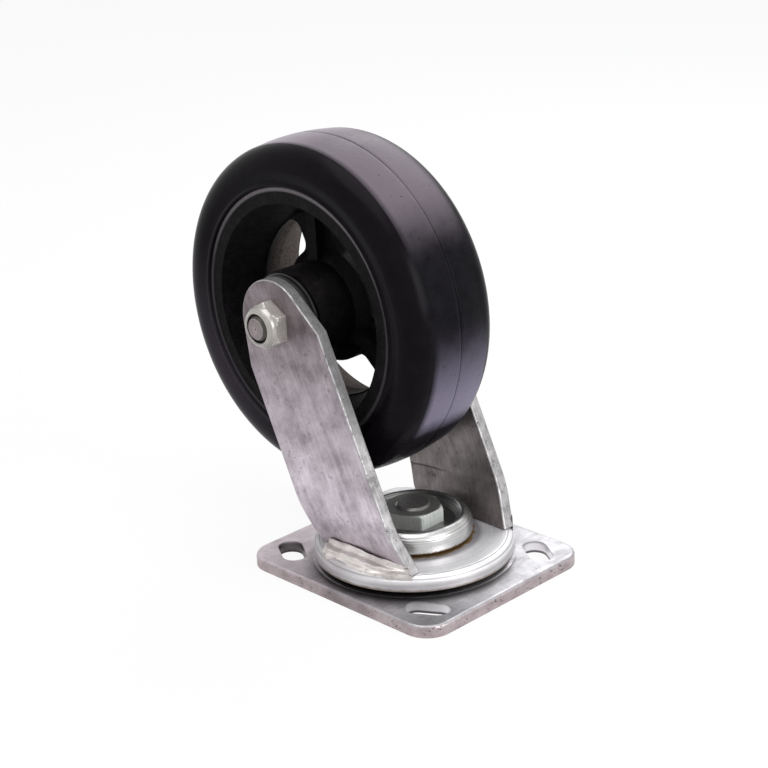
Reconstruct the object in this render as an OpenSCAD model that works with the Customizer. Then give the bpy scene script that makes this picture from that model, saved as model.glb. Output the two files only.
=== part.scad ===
// Swivel castor with a rubber-tyred wheel, stood on its mounting plate with the wheel up.
// The origin is the centre of the mounting face, on the swivel axis. X points forward, Y lies along the axle.

/* [Mounting plate] */
// Length of the plate along the direction of travel
plate_length = 114.3; // [108:0.1:125]
// Width of the plate across the direction of travel
plate_width = 101.6; // [98:0.1:115]
// Thickness of the plate
plate_thickness = 5.5; // [5:0.1:8]
// Radius of the plate's corners in plan
plate_corner_radius = 12; // [8:0.5:14]
// Rounding of the plate's upper edge
plate_edge_round = 1.5; // [0.5:0.1:2.5]
// Height of the pressed boss that carries the load race
boss_height = 1.2; // [0.6:0.1:2]
// Width of the slope around the boss
boss_slope = 3; // [2:0.5:4]
// Distance of the boss's edge inside the rim of the yoke's disc
boss_set_in = 2.5; // [0.5:0.5:4]
// Width of each bolt slot
slot_width = 11.1; // [9:0.1:12]
// Bolt spacing both ways at the slots' inner ends
slot_inner_spacing = 76.2; // [75:0.1:78]
// Bolt spacing along the plate at the slots' outer ends
slot_outer_length_spacing = 92.1; // [88:0.1:93]
// Bolt spacing across the plate at the slots' outer ends
slot_outer_width_spacing = 66.7; // [64:0.1:70]

/* [Swivel head] */
// Outer radius of the yoke's base disc
yoke_radius = 45; // [44:0.5:47]
// Wall thickness of the disc's skirt
skirt_wall = 3.5; // [2.5:0.5:4]
// Gap between the boss and the skirt's lower edge
skirt_gap = 1.3; // [0.8:0.1:2]
// Thickness of the disc between its two ball races
yoke_wall = 4.5; // [4:0.1:6]
// Rounding of the disc's outer shoulder
yoke_edge_radius = 4; // [2:0.5:4.5]
// Radial gap between the disc's bore and the kingpin
yoke_bore_gap = 2.5; // [1.5:0.5:4]
// Diameter of the load balls between plate and yoke
load_ball_diameter = 7.94; // [7:0.01:8.5]
// Pitch radius of the load balls
load_race_radius = 33; // [31:0.5:35]
// Diameter of the retainer balls between yoke and cap
retainer_ball_diameter = 6.35; // [5.5:0.01:6.5]
// Pitch radius of the retainer balls
retainer_race_radius = 20.5; // [20:0.1:21.5]
// Distance from a load ball's centre to the faces on either side
load_ball_stand = 1.9; // [1.7:0.1:2.2]
// Distance from a retainer ball's centre to the faces on either side
retainer_ball_stand = 1.4; // [1.2:0.1:1.7]
// Space along the race between one ball and the next
ball_spacing = 0.5; // [0.3:0.1:1]
// Clearance between a ball and its groove
ball_clearance = 0.05; // [0.03:0.01:0.1]

/* [Retainer cap and kingpin] */
// Radius of the retainer cap at its foot
cap_radius = 26.4; // [25.5:0.1:27]
// Height of the retainer cap
cap_height = 7.7; // [6.5:0.1:9]
// Height of the cap's full-width band
cap_band = 3.9; // [3:0.1:5]
// How far the cap steps in above the band
cap_step = 1.6; // [1:0.1:2.2]
// Width of the flat rim round the cap's dish
cap_rim = 3.2; // [2:0.1:4]
// Rounding and bevels on the cap
cap_bevel = 0.8; // [0.4:0.1:1]
// Radius of the floor of the cap's dish
cap_dish_radius = 19; // [16:0.5:20]
// Gap between the cap's skirt and the disc
cap_skirt_gap = 0.8; // [0.5:0.1:1.5]
// Wall thickness of the cap's skirt
cap_skirt_wall = 1.8; // [1.4:0.1:2.2]
// Thickness of the cap under the nut
cap_floor = 3.7; // [3:0.1:4.5]
// Radius of the kingpin's plain shank
kingpin_radius = 9.5; // [8.5:0.1:10]
// Radius of the kingpin's threaded end
kingpin_thread_radius = 7.94; // [6:0.01:8]
// Radius of the kingpin's countersunk head
kingpin_head_radius = 14.5; // [12:0.5:16]
// Height of the kingpin's countersunk head
kingpin_head_height = 4; // [3:0.1:4.5]
// Depth of the head below the mounting face
kingpin_head_recess = 0.4; // [0.2:0.1:0.6]
// Width of the kingpin nut across its flats
kingpin_nut_flats = 24; // [22:0.5:25]
// Height of the kingpin nut
kingpin_nut_height = 7; // [6:0.5:9]
// How far the kingpin's end stands above its nut
kingpin_end_stand = 1.2; // [0.5:0.1:2]

/* [Legs] */
// Height from the mounting face to the top of the tyre
overall_height = 190.5; // [185:0.5:200]
// Distance of the axle behind the swivel axis
trail = 44; // [38:0.5:50]
// Gap between the two legs at the axle
leg_gap = 64; // [63:0.5:70]
// Thickness of a leg
leg_thickness = 6; // [5:0.1:7]
// Width of the bar that a leg is cut from
leg_width = 50.8; // [48:0.1:54]
// How far the axle hole lies behind the bar's middle line
axle_setback = 1; // [0:0.5:2]
// Radius of a leg's round end about the axle
leg_end_radius = 19.5; // [18:0.5:21]
// Distance below the axle at which the front corner is cropped
front_crop_drop = 10.5; // [9:0.5:14]
// Distance below the axle at which the rear corner is cropped
rear_crop_drop = 14.5; // [10:0.5:16]
// Height of the bend above the mounting face
bend_height = 33; // [31:0.5:36]
// How far behind the swivel axis the axle's line along the leg meets the bend
leg_root_setback = 6.8; // [4:0.1:9]
// Gap between the cap and a leg's inner face
cap_side_gap = 0.7; // [0.5:0.1:1]
// Radius of the foot's rear corner
foot_corner_radius = 11; // [8:0.5:12]
// Radius of the weld bead along each foot
weld_radius = 4.2; // [3:0.1:4.5]
// Distance of the weld bead inside the disc's rim
weld_set_in = 0.5; // [0.3:0.1:1]

/* [Axle] */
// Radius of the axle bolt
axle_radius = 6.35; // [6:0.05:6.5]
// Radial clearance of the axle bolt in its holes
axle_clearance = 0.05; // [0.02:0.01:0.1]
// Width of the bolt head and nut across their flats
axle_hex_flats = 19; // [18:0.5:20]
// Height of the bolt head
axle_head_height = 7.9; // [7:0.1:9]
// Height of the nut's hexagon
axle_nut_height = 6.4; // [6:0.1:9]
// Height of the nut's round collar
nut_collar_height = 2.6; // [2.2:0.1:4]
// Radius of the nut's round collar
nut_collar_radius = 8.7; // [8.5:0.1:9]
// Radial thickness of the nut's locking ring
locking_ring_wall = 1.3; // [1:0.1:1.5]
// How far the bolt's end stands out of the nut
axle_end_stand = 1.2; // [0.5:0.1:3]
// Radius of the sleeve that the rollers run on
sleeve_radius = 9.5; // [9:0.1:10]
// Radius of the thrust washers
washer_radius = 20.3; // [19:0.1:21]
// Thickness of the thrust washers
washer_thickness = 3.2; // [2:0.1:4]

/* [Roller bearing] */
// Diameter of the rollers
roller_diameter = 5.5; // [5:0.1:6]
// Radial running clearance on either side of the rollers
roller_clearance = 0.03; // [0.02:0.01:0.05]
// Width of the cage's bars between rollers
cage_bar = 2; // [1.5:0.1:3]
// Radial thickness of the cage
cage_wall = 2; // [1.5:0.1:2.5]
// Clearance of a roller in its pocket
pocket_clearance = 0.2; // [0.1:0.05:0.3]
// Width of the cage's end rings
cage_end_width = 5; // [4:0.5:8]

/* [Wheel] */
// Outer diameter of the tyre
wheel_diameter = 152.4; // [148:0.1:160]
// Width of the tyre
tyre_width = 50.8; // [46:0.1:54]
// Radius of the tyre's shoulders
shoulder_radius = 10.8; // [9:0.1:12]
// Rise of the tread's crown at its middle
tread_crown = 1.1; // [0.5:0.1:1.5]
// Depth and half width of the mould line round the tread
mould_line = 0.4; // [0.2:0.1:0.6]
// Thickness of the rubber at the middle of the tread
tyre_thickness = 19.2; // [17:0.1:21]
// How far the sidewall steps back beside the rim
sidewall_step = 2.7; // [1.5:0.1:3.5]
// Radial width of the bevelled step beside the rim
sidewall_bevel = 3; // [2:0.1:4]
// Clearance at the bond between rubber and rim
bond_clearance = 0.02; // [0.01:0.01:0.03]
// Distance of the rim's faces inside the tyre's sides
rim_set_in = 1.6; // [1:0.1:3]
// Thickness of the rim at its faces
rim_face_wall = 7.3; // [6:0.1:9]
// Thickness of the rim where it meets the web
rim_root_wall = 15; // [13:0.1:17]
// Thickness of the web
web_thickness = 8; // [6:0.5:10]
// Radius of the hub
hub_radius = 21.2; // [20.5:0.1:22]
// Width of the cone where the hub meets the web
hub_cone = 4.3; // [3:0.1:6]
// Gap between the hub's ends and the thrust washers
hub_side_gap = 0.4; // [0.3:0.1:0.6]
// Number of windows in the web
window_count = 3; // [3:1:4]
// Angle that each window spans
window_angle = 81; // [60:1:82]
// Angle from forward to the middle of one spoke
spoke_angle = 97.5; // [90:0.5:105]
// Width of web left between the windows and the hub or rim
window_lip = 0.5; // [0.3:0.1:1.5]
// Radius of the windows' corners
window_corner = 5; // [3:0.5:6]
// Thickness of the rib along each spoke
rib_thickness = 6; // [4:0.5:8]
// Height of a rib's root above the wheel's middle plane
rib_root_height = 10; // [8:0.5:18]
// Height of a rib's outer end above the wheel's middle plane
rib_end_height = 7; // [5:0.5:14]

/* [Hidden] */
$fn = 96;
// Length by which a cut runs past the solid that it cuts
cut_past = 1;
// Half the length of a block that is cut to a shape or cuts one
trim_size = 120;
// Clearance of pieces that are fixed to each other
seat_clearance = 0.02;
// Chamfer on the ends of bolts and nuts
end_chamfer = 1;
// Number of steps along a long arc of an outline
arc_steps = 24;
// Number of steps round a corner of an outline
corner_steps = 6;

boss_radius = yoke_radius - boss_set_in;
boss_top = plate_thickness + boss_height;
load_ball_z = boss_top + load_ball_stand;
yoke_floor = load_ball_z + load_ball_stand;
yoke_top = yoke_floor + yoke_wall;
skirt_bottom = boss_top + skirt_gap;
retainer_ball_z = yoke_top + retainer_ball_stand;
cap_base = retainer_ball_z + retainer_ball_stand;
cap_skirt_bottom = yoke_top + cap_skirt_gap;
cap_top = cap_base + cap_height;
nut_seat = cap_base + cap_floor;
kingpin_end = nut_seat + kingpin_nut_height + kingpin_end_stand;
yoke_bore = kingpin_radius + yoke_bore_gap;
cap_top_radius = cap_radius - cap_step;

wheel_radius = wheel_diameter / 2;
axle_z = overall_height - wheel_radius;
leg_outer = leg_gap / 2 + leg_thickness;
lean = atan((trail - leg_root_setback) / (axle_z - bend_height));
front_edge = leg_width / 2 + axle_setback;
rear_edge = axle_setback - leg_width / 2;
bend_angle = atan((leg_gap / 2 - cap_radius - cap_side_gap) / (bend_height - cap_skirt_bottom));
foot_inner_y = leg_gap / 2 - (bend_height - yoke_top) * tan(bend_angle);
foot_outer_y = foot_inner_y + leg_thickness / cos(bend_angle);
foot_front_x = edge_x(front_edge, yoke_top);
foot_rear_x = edge_x(rear_edge, yoke_top);
heel = [foot_rear_x + foot_corner_radius / tan(45 + lean / 2), yoke_top + foot_corner_radius];
axle_hole_radius = axle_radius + axle_clearance;

hub_length = leg_gap - 2 * (washer_thickness + hub_side_gap);
roller_pitch = sleeve_radius + roller_clearance + roller_diameter / 2;
hub_bore = roller_pitch + roller_diameter / 2 + roller_clearance;
pocket_length = hub_length - 2 * cage_end_width;
roller_length = pocket_length - 2 * pocket_clearance;
roller_count = fit_count(roller_pitch, roller_diameter + cage_bar);
rim_radius = wheel_radius - tyre_thickness;
rim_half_width = tyre_width / 2 - rim_set_in;
web_outer = rim_radius - rim_root_wall;
web_inner = hub_radius + hub_cone;
window_outer = web_outer - window_lip;
window_inner = web_inner + window_lip;
spoke_step = 360 / window_count;

// Point of the leg's bar, from its distance in front of the axle's line and its height along that line
function bar_point(across, along) = [
    -trail + across * cos(lean) - along * sin(lean),
    axle_z + across * sin(lean) + along * cos(lean)
];

// Forward position of a bar edge at a height
function edge_x(across, height) = bar_point(across, (height - axle_z - across * sin(lean)) / cos(lean))[0];

// Direction in which the line from a cropped corner touches the round end, seen from the axle
function touch_angle(corner, side) = atan2(corner[1], corner[0]) + side * acos(leg_end_radius / norm(corner));

// How many pieces fit round a pitch circle, each with its share of the gap
function fit_count(pitch, width) = floor(180 / asin(width / (2 * pitch)));

// Point at a radius and an angle
function polar(radius, angle) = radius * [cos(angle), sin(angle)];

// Points along an arc, with both its ends
function arc(centre, radius, from, to, steps) = [
    for (i = [0 : steps]) centre + polar(radius, from + (to - from) * i / steps)
];

// Points along an arc about the axis, without its ends
function inside_arc(radius, from, to, steps) = [
    for (i = [1 : steps - 1]) polar(radius, from + (to - from) * i / steps)
];

module ring(outer, inner, height) {
    difference() {
        cylinder(r = outer, h = height);
        translate([0, 0, -cut_past]) cylinder(r = inner, h = height + 2 * cut_past);
    }
}

module along_axle() {
    translate([-trail, 0, axle_z]) rotate([-90, 0, 0]) children();
}

module hexagon(flats, height) {
    cylinder(r = flats / sqrt(3), h = height, $fn = 6);
}

// Hexagonal prism with its upper corners turned away
module turned_hexagon(flats, height) {
    corner = flats / sqrt(3);
    intersection() {
        hexagon(flats, height);
        rotate_extrude() polygon([
            [0, 0],
            [corner, 0],
            [corner, height - end_chamfer],
            [flats / 2, height],
            [0, height]
        ]);
    }
}

module ball_row(diameter, pitch, height) {
    count = fit_count(pitch, diameter + ball_spacing);
    for (i = [0 : count - 1])
        rotate([0, 0, i * 360 / count]) translate([pitch, 0, height]) sphere(d = diameter, $fn = 48);
}

module race_groove(diameter, pitch, height) {
    rotate_extrude() translate([pitch, height]) circle(d = diameter + 2 * ball_clearance);
}

// Half section with a round upper corner
module rounded_profile(width, height, radius) {
    square([width, height - radius]);
    square([width - radius, height]);
    intersection() {
        translate([width - radius, height - radius]) circle(r = radius);
        translate([width - radius, height - radius]) square(radius);
    }
}

module plate_edge_profile() {
    rounded_profile(plate_corner_radius, plate_thickness, plate_edge_round);
}

// One side of the plate and the corner that follows it
module plate_side(across, along) {
    translate([across / 2, along / 2, 0]) {
        rotate([90, 0, 0]) linear_extrude(along) plate_edge_profile();
        rotate_extrude(angle = 90) plate_edge_profile();
    }
}

module plate_slab() {
    length = plate_length - 2 * plate_corner_radius;
    width = plate_width - 2 * plate_corner_radius;
    translate([-length / 2, -width / 2, 0]) cube([length, width, plate_thickness]);
    for (turn = [0, 180]) {
        rotate([0, 0, turn]) plate_side(length, width);
        rotate([0, 0, turn + 90]) plate_side(width, length);
    }
}

// Round end of a bolt slot, facing along X
module slot_end(height) {
    rotate([0, 0, -90]) rotate_extrude(angle = 180) square([slot_width / 2, height]);
}

module bolt_slot() {
    inner_end = [slot_inner_spacing / 2, slot_inner_spacing / 2];
    outer_end = [slot_outer_length_spacing / 2, slot_outer_width_spacing / 2];
    run = outer_end - inner_end;
    height = plate_thickness + boss_height + 2 * cut_past;
    translate([inner_end[0], inner_end[1], -cut_past]) rotate([0, 0, atan2(run[1], run[0])]) {
        translate([0, -slot_width / 2, 0]) cube([norm(run), slot_width, height]);
        rotate([0, 0, 180]) slot_end(height);
        translate([norm(run), 0, 0]) slot_end(height);
    }
}

module kingpin_profile(clearance) {
    head_top = kingpin_head_recess + kingpin_head_height;
    polygon([
        [0, kingpin_head_recess],
        [kingpin_head_radius + clearance, kingpin_head_recess],
        [kingpin_radius + clearance, head_top],
        [kingpin_radius + clearance, cap_base],
        [0, cap_base]
    ]);
}

module top_plate() {
    color("gainsboro") difference() {
        union() {
            plate_slab();
            rotate_extrude() polygon([
                [0, plate_edge_round],
                [boss_radius + boss_slope, plate_edge_round],
                [boss_radius + boss_slope, plate_thickness],
                [boss_radius, boss_top],
                [0, boss_top]
            ]);
        }
        race_groove(load_ball_diameter, load_race_radius, load_ball_z);
        rotate_extrude() kingpin_profile(seat_clearance);
        translate([0, 0, -cut_past])
            cylinder(r = kingpin_head_radius + seat_clearance, h = kingpin_head_recess + cut_past);
        for (x = [0, 1], y = [0, 1]) mirror([x, 0, 0]) mirror([0, y, 0]) bolt_slot();
    }
}

module kingpin() {
    color("silver") {
        rotate_extrude() kingpin_profile(0);
        rotate_extrude() polygon([
            [0, cap_base - cut_past],
            [kingpin_thread_radius, cap_base - cut_past],
            [kingpin_thread_radius, kingpin_end - end_chamfer],
            [kingpin_thread_radius - end_chamfer, kingpin_end],
            [0, kingpin_end]
        ]);
    }
}

module load_balls() {
    color("lightsteelblue") ball_row(load_ball_diameter, load_race_radius, load_ball_z);
}

// Disc without its ball grooves and its hollow underside
module yoke_solid() {
    height = yoke_top - skirt_bottom;
    rotate_extrude() difference() {
        translate([0, skirt_bottom]) rounded_profile(yoke_radius, height, yoke_edge_radius);
        translate([-cut_past, skirt_bottom - cut_past]) square([yoke_bore + cut_past, height + 2 * cut_past]);
    }
}

module yoke_base() {
    color("whitesmoke") difference() {
        yoke_solid();
        translate([0, 0, skirt_bottom - cut_past])
            cylinder(r = yoke_radius - skirt_wall, h = yoke_floor - skirt_bottom + cut_past);
        race_groove(load_ball_diameter, load_race_radius, load_ball_z);
        race_groove(retainer_ball_diameter, retainer_race_radius, retainer_ball_z);
    }
}

// Side view of a leg: a bar with a round heel, and cropped corners that run into a round end about the axle
module leg_side_view() {
    front_corner = [front_edge, -front_crop_drop];
    rear_corner = [rear_edge, -rear_crop_drop];
    front_touch = touch_angle(front_corner, 1) + lean;
    rear_touch = touch_angle(rear_corner, -1) + lean + 360;
    polygon(concat(
        arc([-trail, axle_z], leg_end_radius, front_touch, rear_touch, arc_steps),
        [bar_point(rear_corner[0], rear_corner[1])],
        arc(heel, foot_corner_radius, lean + 180, 270, corner_steps),
        [[foot_front_x, yoke_top], bar_point(front_corner[0], front_corner[1])]
    ));
}

// End view of a leg: upright beside the wheel, and bent in towards the disc below it
module leg_end_view() {
    top = axle_z + leg_end_radius + cut_past;
    polygon([
        [-leg_gap / 2, top],
        [-leg_gap / 2, bend_height],
        [-foot_inner_y, yoke_top],
        [-foot_outer_y, yoke_top],
        [-leg_outer, bend_height - leg_thickness * tan(bend_angle / 2)],
        [-leg_outer, top]
    ]);
}

module leg_body() {
    difference() {
        intersection() {
            rotate([90, 0, 0]) linear_extrude(leg_outer + cut_past) leg_side_view();
            translate([-trim_size, 0, 0]) rotate([90, 0, 90]) linear_extrude(2 * trim_size) leg_end_view();
        }
        along_axle() translate([0, 0, -leg_outer - cut_past])
            cylinder(r = axle_hole_radius, h = leg_thickness + 2 * cut_past);
    }
}

module nut_side_leg() {
    color("lightgray") leg_body();
}

module head_side_leg() {
    color("lightgray") mirror([0, 1, 0]) leg_body();
}

// Weld bead in the corner between a foot's outer face and the disc, filled down to the disc's round shoulder
module weld_body() {
    difference() {
        intersection() {
            translate([heel[0], -foot_outer_y, yoke_top]) rotate([0, 90, 0])
                cylinder(r = weld_radius, h = foot_front_x - heel[0]);
            cylinder(r = yoke_radius - weld_set_in, h = cap_top);
        }
        yoke_solid();
        translate([-trim_size, -foot_outer_y, yoke_top]) rotate([bend_angle, 0, 0])
            translate([0, 0, -trim_size]) cube([2 * trim_size, trim_size, 2 * trim_size]);
    }
}

module nut_side_weld() {
    color("tan") weld_body();
}

module head_side_weld() {
    color("tan") mirror([0, 1, 0]) weld_body();
}

module retainer_balls() {
    color("lightsteelblue") ball_row(retainer_ball_diameter, retainer_race_radius, retainer_ball_z);
}

module retainer_cap() {
    thread_hole = kingpin_thread_radius + seat_clearance;
    skirt_inner = cap_radius - cap_skirt_wall;
    color("whitesmoke") difference() {
        rotate_extrude() polygon([
            [thread_hole, cap_base],
            [skirt_inner, cap_base],
            [skirt_inner, cap_skirt_bottom],
            [cap_radius - cap_bevel, cap_skirt_bottom],
            [cap_radius, cap_skirt_bottom + cap_bevel],
            [cap_radius, cap_base + cap_band],
            [cap_top_radius, cap_base + cap_band + cap_step],
            [cap_top_radius, cap_top - cap_bevel],
            [cap_top_radius - cap_bevel, cap_top],
            [cap_top_radius - cap_rim, cap_top],
            [cap_dish_radius, nut_seat],
            [thread_hole, nut_seat]
        ]);
        race_groove(retainer_ball_diameter, retainer_race_radius, retainer_ball_z);
    }
}

module kingpin_nut() {
    color("silver") translate([0, 0, nut_seat]) rotate([0, 0, 30]) difference() {
        turned_hexagon(kingpin_nut_flats, kingpin_nut_height);
        translate([0, 0, -cut_past])
            cylinder(r = kingpin_thread_radius + seat_clearance, h = kingpin_nut_height + 2 * cut_past);
    }
}

module axle_bolt() {
    shank_end = leg_outer + axle_nut_height + nut_collar_height + axle_end_stand;
    color("silver") along_axle() {
        translate([0, 0, leg_outer]) turned_hexagon(axle_hex_flats, axle_head_height);
        rotate_extrude() polygon([
            [0, -shank_end],
            [axle_radius - end_chamfer, -shank_end],
            [axle_radius, end_chamfer - shank_end],
            [axle_radius, leg_outer + cut_past],
            [0, leg_outer + cut_past]
        ]);
    }
}

module axle_sleeve() {
    color("dimgray") along_axle() translate([0, 0, -leg_gap / 2])
        ring(sleeve_radius, axle_hole_radius, leg_gap);
}

module thrust_washer() {
    along_axle() translate([0, 0, -leg_gap / 2])
        ring(washer_radius, sleeve_radius + seat_clearance, washer_thickness);
}

module nut_side_washer() {
    color("darkslategray") thrust_washer();
}

module head_side_washer() {
    color("darkslategray") mirror([0, 1, 0]) thrust_washer();
}

module roller_row(diameter, length) {
    for (i = [0 : roller_count - 1])
        rotate([0, 0, i * 360 / roller_count]) translate([roller_pitch, 0, -length / 2])
            cylinder(d = diameter, h = length, $fn = 32);
}

module bearing_rollers() {
    color("silver") along_axle() roller_row(roller_diameter, roller_length);
}

module roller_cage() {
    color("peru") along_axle() difference() {
        translate([0, 0, -hub_length / 2])
            ring(roller_pitch + cage_wall / 2, roller_pitch - cage_wall / 2, hub_length);
        roller_row(roller_diameter + 2 * pocket_clearance, pocket_length);
    }
}

// Outline of one window: a ring sector with round corners
module window_outline() {
    inner_seat = window_inner + window_corner;
    outer_seat = window_outer - window_corner;
    inner_start = asin(window_corner / inner_seat);
    outer_start = asin(window_corner / outer_seat);
    inner_end = window_angle - inner_start;
    outer_end = window_angle - outer_start;
    polygon(concat(
        arc(polar(inner_seat, inner_start), window_corner, inner_start + 180, 270, corner_steps),
        arc(polar(outer_seat, outer_start), window_corner, -90, outer_start, corner_steps),
        inside_arc(window_outer, outer_start, outer_end, arc_steps),
        arc(polar(outer_seat, outer_end), window_corner, outer_end, window_angle + 90, corner_steps),
        arc(polar(inner_seat, inner_end), window_corner, window_angle + 90, inner_end + 180, corner_steps),
        inside_arc(window_inner, inner_end, inner_start, arc_steps)
    ));
}

module spoke_rib() {
    root = hub_radius - hub_cone / 2;
    end = web_outer + rim_face_wall;
    rotate([90, 0, 0]) translate([0, 0, -rib_thickness / 2]) linear_extrude(rib_thickness) polygon([
        [root, -rib_root_height],
        [end, -rib_end_height],
        [end, rib_end_height],
        [root, rib_root_height]
    ]);
}

module core_casting() {
    half_web = web_thickness / 2;
    half_hub = hub_length / 2;
    face_radius = rim_radius - rim_face_wall;
    difference() {
        union() {
            rotate_extrude() polygon([
                [hub_bore, -half_hub],
                [hub_radius, -half_hub],
                [hub_radius, -half_web - hub_cone],
                [web_inner, -half_web],
                [web_outer, -half_web],
                [face_radius, -rim_half_width],
                [rim_radius, -rim_half_width],
                [rim_radius, rim_half_width],
                [face_radius, rim_half_width],
                [web_outer, half_web],
                [web_inner, half_web],
                [hub_radius, half_web + hub_cone],
                [hub_radius, half_hub],
                [hub_bore, half_hub]
            ]);
            for (i = [0 : window_count - 1]) rotate([0, 0, i * spoke_step]) spoke_rib();
        }
        for (i = [0 : window_count - 1])
            rotate([0, 0, (i + 1 / 2) * spoke_step - window_angle / 2])
                translate([0, 0, -half_web - cut_past])
                    linear_extrude(web_thickness + 2 * cut_past) window_outline();
    }
}

module wheel_core() {
    color("dimgray") along_axle() rotate([0, 0, -spoke_angle]) core_casting();
}

module tyre_section() {
    inner = rim_radius + bond_clearance;
    half_width = tyre_width / 2;
    tread_edge = wheel_radius - tread_crown;
    tread_half = half_width - shoulder_radius;
    shoulder_start = tread_edge - shoulder_radius;
    crown_radius = (tread_half * tread_half + tread_crown * tread_crown) / (2 * tread_crown);
    step_top = inner + 2 * sidewall_bevel;
    intersection() {
        union() {
            translate([inner, -tread_half]) square([wheel_radius - inner, 2 * tread_half]);
            for (side = [-1, 1]) translate([shoulder_start, side * tread_half]) circle(r = shoulder_radius);
            polygon([
                [inner, sidewall_step - half_width],
                [inner + sidewall_bevel, sidewall_step - half_width],
                [step_top, -half_width],
                [shoulder_start, -half_width],
                [shoulder_start, half_width],
                [step_top, half_width],
                [inner + sidewall_bevel, half_width - sidewall_step],
                [inner, half_width - sidewall_step]
            ]);
        }
        translate([wheel_radius - crown_radius, 0]) circle(r = crown_radius);
    }
}

module rubber_tyre() {
    color("black") along_axle() difference() {
        rotate_extrude() tyre_section();
        translate([0, 0, -mould_line])
            ring(wheel_radius + cut_past, wheel_radius - mould_line, 2 * mould_line);
    }
}

module axle_nut() {
    ring_radius = axle_hole_radius + locking_ring_wall;
    height = axle_nut_height + nut_collar_height;
    color("ghostwhite") along_axle() translate([0, 0, -leg_outer]) mirror([0, 0, 1]) difference() {
        union() {
            turned_hexagon(axle_hex_flats, axle_nut_height);
            rotate_extrude() polygon([
                [0, 0],
                [nut_collar_radius, 0],
                [nut_collar_radius, height - end_chamfer],
                [nut_collar_radius - end_chamfer / 2, height],
                [0, height]
            ]);
        }
        translate([0, 0, -cut_past]) cylinder(r = axle_hole_radius, h = height + 2 * cut_past);
        translate([0, 0, axle_nut_height]) cylinder(r = ring_radius, h = nut_collar_height + cut_past);
    }
}

module locking_ring() {
    color("slategray") along_axle() translate([0, 0, -leg_outer - axle_nut_height]) mirror([0, 0, 1])
        ring(axle_hole_radius + locking_ring_wall - seat_clearance, axle_hole_radius,
            nut_collar_height - end_chamfer / 2);
}

top_plate();
kingpin();
load_balls();
yoke_base();
nut_side_leg();
head_side_leg();
nut_side_weld();
head_side_weld();
retainer_balls();
retainer_cap();
kingpin_nut();
axle_bolt();
axle_sleeve();
nut_side_washer();
head_side_washer();
bearing_rollers();
roller_cage();
wheel_core();
rubber_tyre();
axle_nut();
locking_ring();
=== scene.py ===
import math

import bmesh
import bpy
from mathutils import Matrix, Vector


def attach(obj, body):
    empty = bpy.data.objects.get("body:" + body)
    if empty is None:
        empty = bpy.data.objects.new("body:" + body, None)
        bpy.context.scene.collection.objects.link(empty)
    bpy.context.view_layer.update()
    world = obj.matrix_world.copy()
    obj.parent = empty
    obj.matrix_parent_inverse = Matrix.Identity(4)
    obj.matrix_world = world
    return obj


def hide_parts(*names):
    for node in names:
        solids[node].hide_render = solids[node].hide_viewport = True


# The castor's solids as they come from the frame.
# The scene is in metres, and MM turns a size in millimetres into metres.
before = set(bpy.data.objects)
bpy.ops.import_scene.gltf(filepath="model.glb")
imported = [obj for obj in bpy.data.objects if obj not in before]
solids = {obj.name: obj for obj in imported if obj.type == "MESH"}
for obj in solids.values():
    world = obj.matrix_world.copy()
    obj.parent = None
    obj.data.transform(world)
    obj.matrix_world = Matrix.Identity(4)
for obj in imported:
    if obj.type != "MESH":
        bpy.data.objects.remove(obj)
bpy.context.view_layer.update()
MM = 0.001


# Mounting plate: pressed from rolled steel sheet, with four slots and a boss under the swivel,
# and zinc plated all over. The sheared edges stay rough and pitted under the plating. A ring of
# painted shade darkens the sheet round the swivel, and the slots' walls and the rear corner carry
# painted light and shade.
PLATE_DARK = (0.275, 0.27, 0.283, 1)
PLATE_LIGHT = (0.475, 0.467, 0.487, 1)
PLATE_METAL = 0.9
PLATE_FINE = 1.6
PLATE_PITS, SHEARED_PITS = 0.25, 1.0
# Painted light: the plate's colours turn paler towards its rear corner.
LIT_CORNER_DARK = (0.43, 0.375, 0.40, 1)
LIT_CORNER_LIGHT = (0.60, 0.53, 0.565, 1)
LIT_CORNER_START, LIT_CORNER_FULL = 0.0 * MM, -75.0 * MM
LIT_CORNER_WANDER = 20 * MM
SHEARED_DARK = (0.30, 0.245, 0.255, 1)
SHEARED_LIGHT = (0.50, 0.43, 0.445, 1)
PLATE_FOOT, PLATE_TOP = 0.05 * MM, 5.3 * MM
SHEAR_DEPTH = 1.0 * MM
SLOT_REACH = (52.5 * MM, 45.0 * MM)
# Painted light and shade on the slots' walls: dark at the rear, pale at the front, and dark along the foot.
SLOT_SHADE_GREY = (0.085, 0.077, 0.08, 1)
SLOT_LIT_PALE = (0.88, 0.86, 0.90, 1)
SLOT_REAR, SLOT_FRONT = -20 * MM, 20 * MM
SLOT_FOOT, SLOT_CLEAR = 0.9 * MM, 1.4 * MM
SLOT_PAINT_SHARE = 0.9
# Painted shade: a dark, glossier ring on the sheet round the swivel, centred a little off the axis.
SHADE_RING_CENTRE = (4.2 * MM, -9.1 * MM, PLATE_TOP)
SHADE_RING_FULL, SHADE_RING_START = 37.5 * MM, 48.5 * MM
SHADE_RING_WANDER = 4 * MM
SHADE_RING_SHARE = 0.93
SHADE_RING_SHINE = -0.08
SHADE_BLACK = (0.02, 0.018, 0.02, 1)
SPECK_BROWN = (0.085, 0.07, 0.065, 1)
CLOUDS, STREAKS, GRAINS, SPECKS, SPECK_PATCHES = 75, 520, 2400, 640, 95
CLOUD_SHARE, STREAK_SHARE, GRAIN_SHARE = 0.56, 0.24, 0.20
STREAK_STRETCH, SPECK_STRETCH = 0.07, 0.6
ZINC_DULL, ZINC_GLOSSY = 0.46, 0.34


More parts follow.
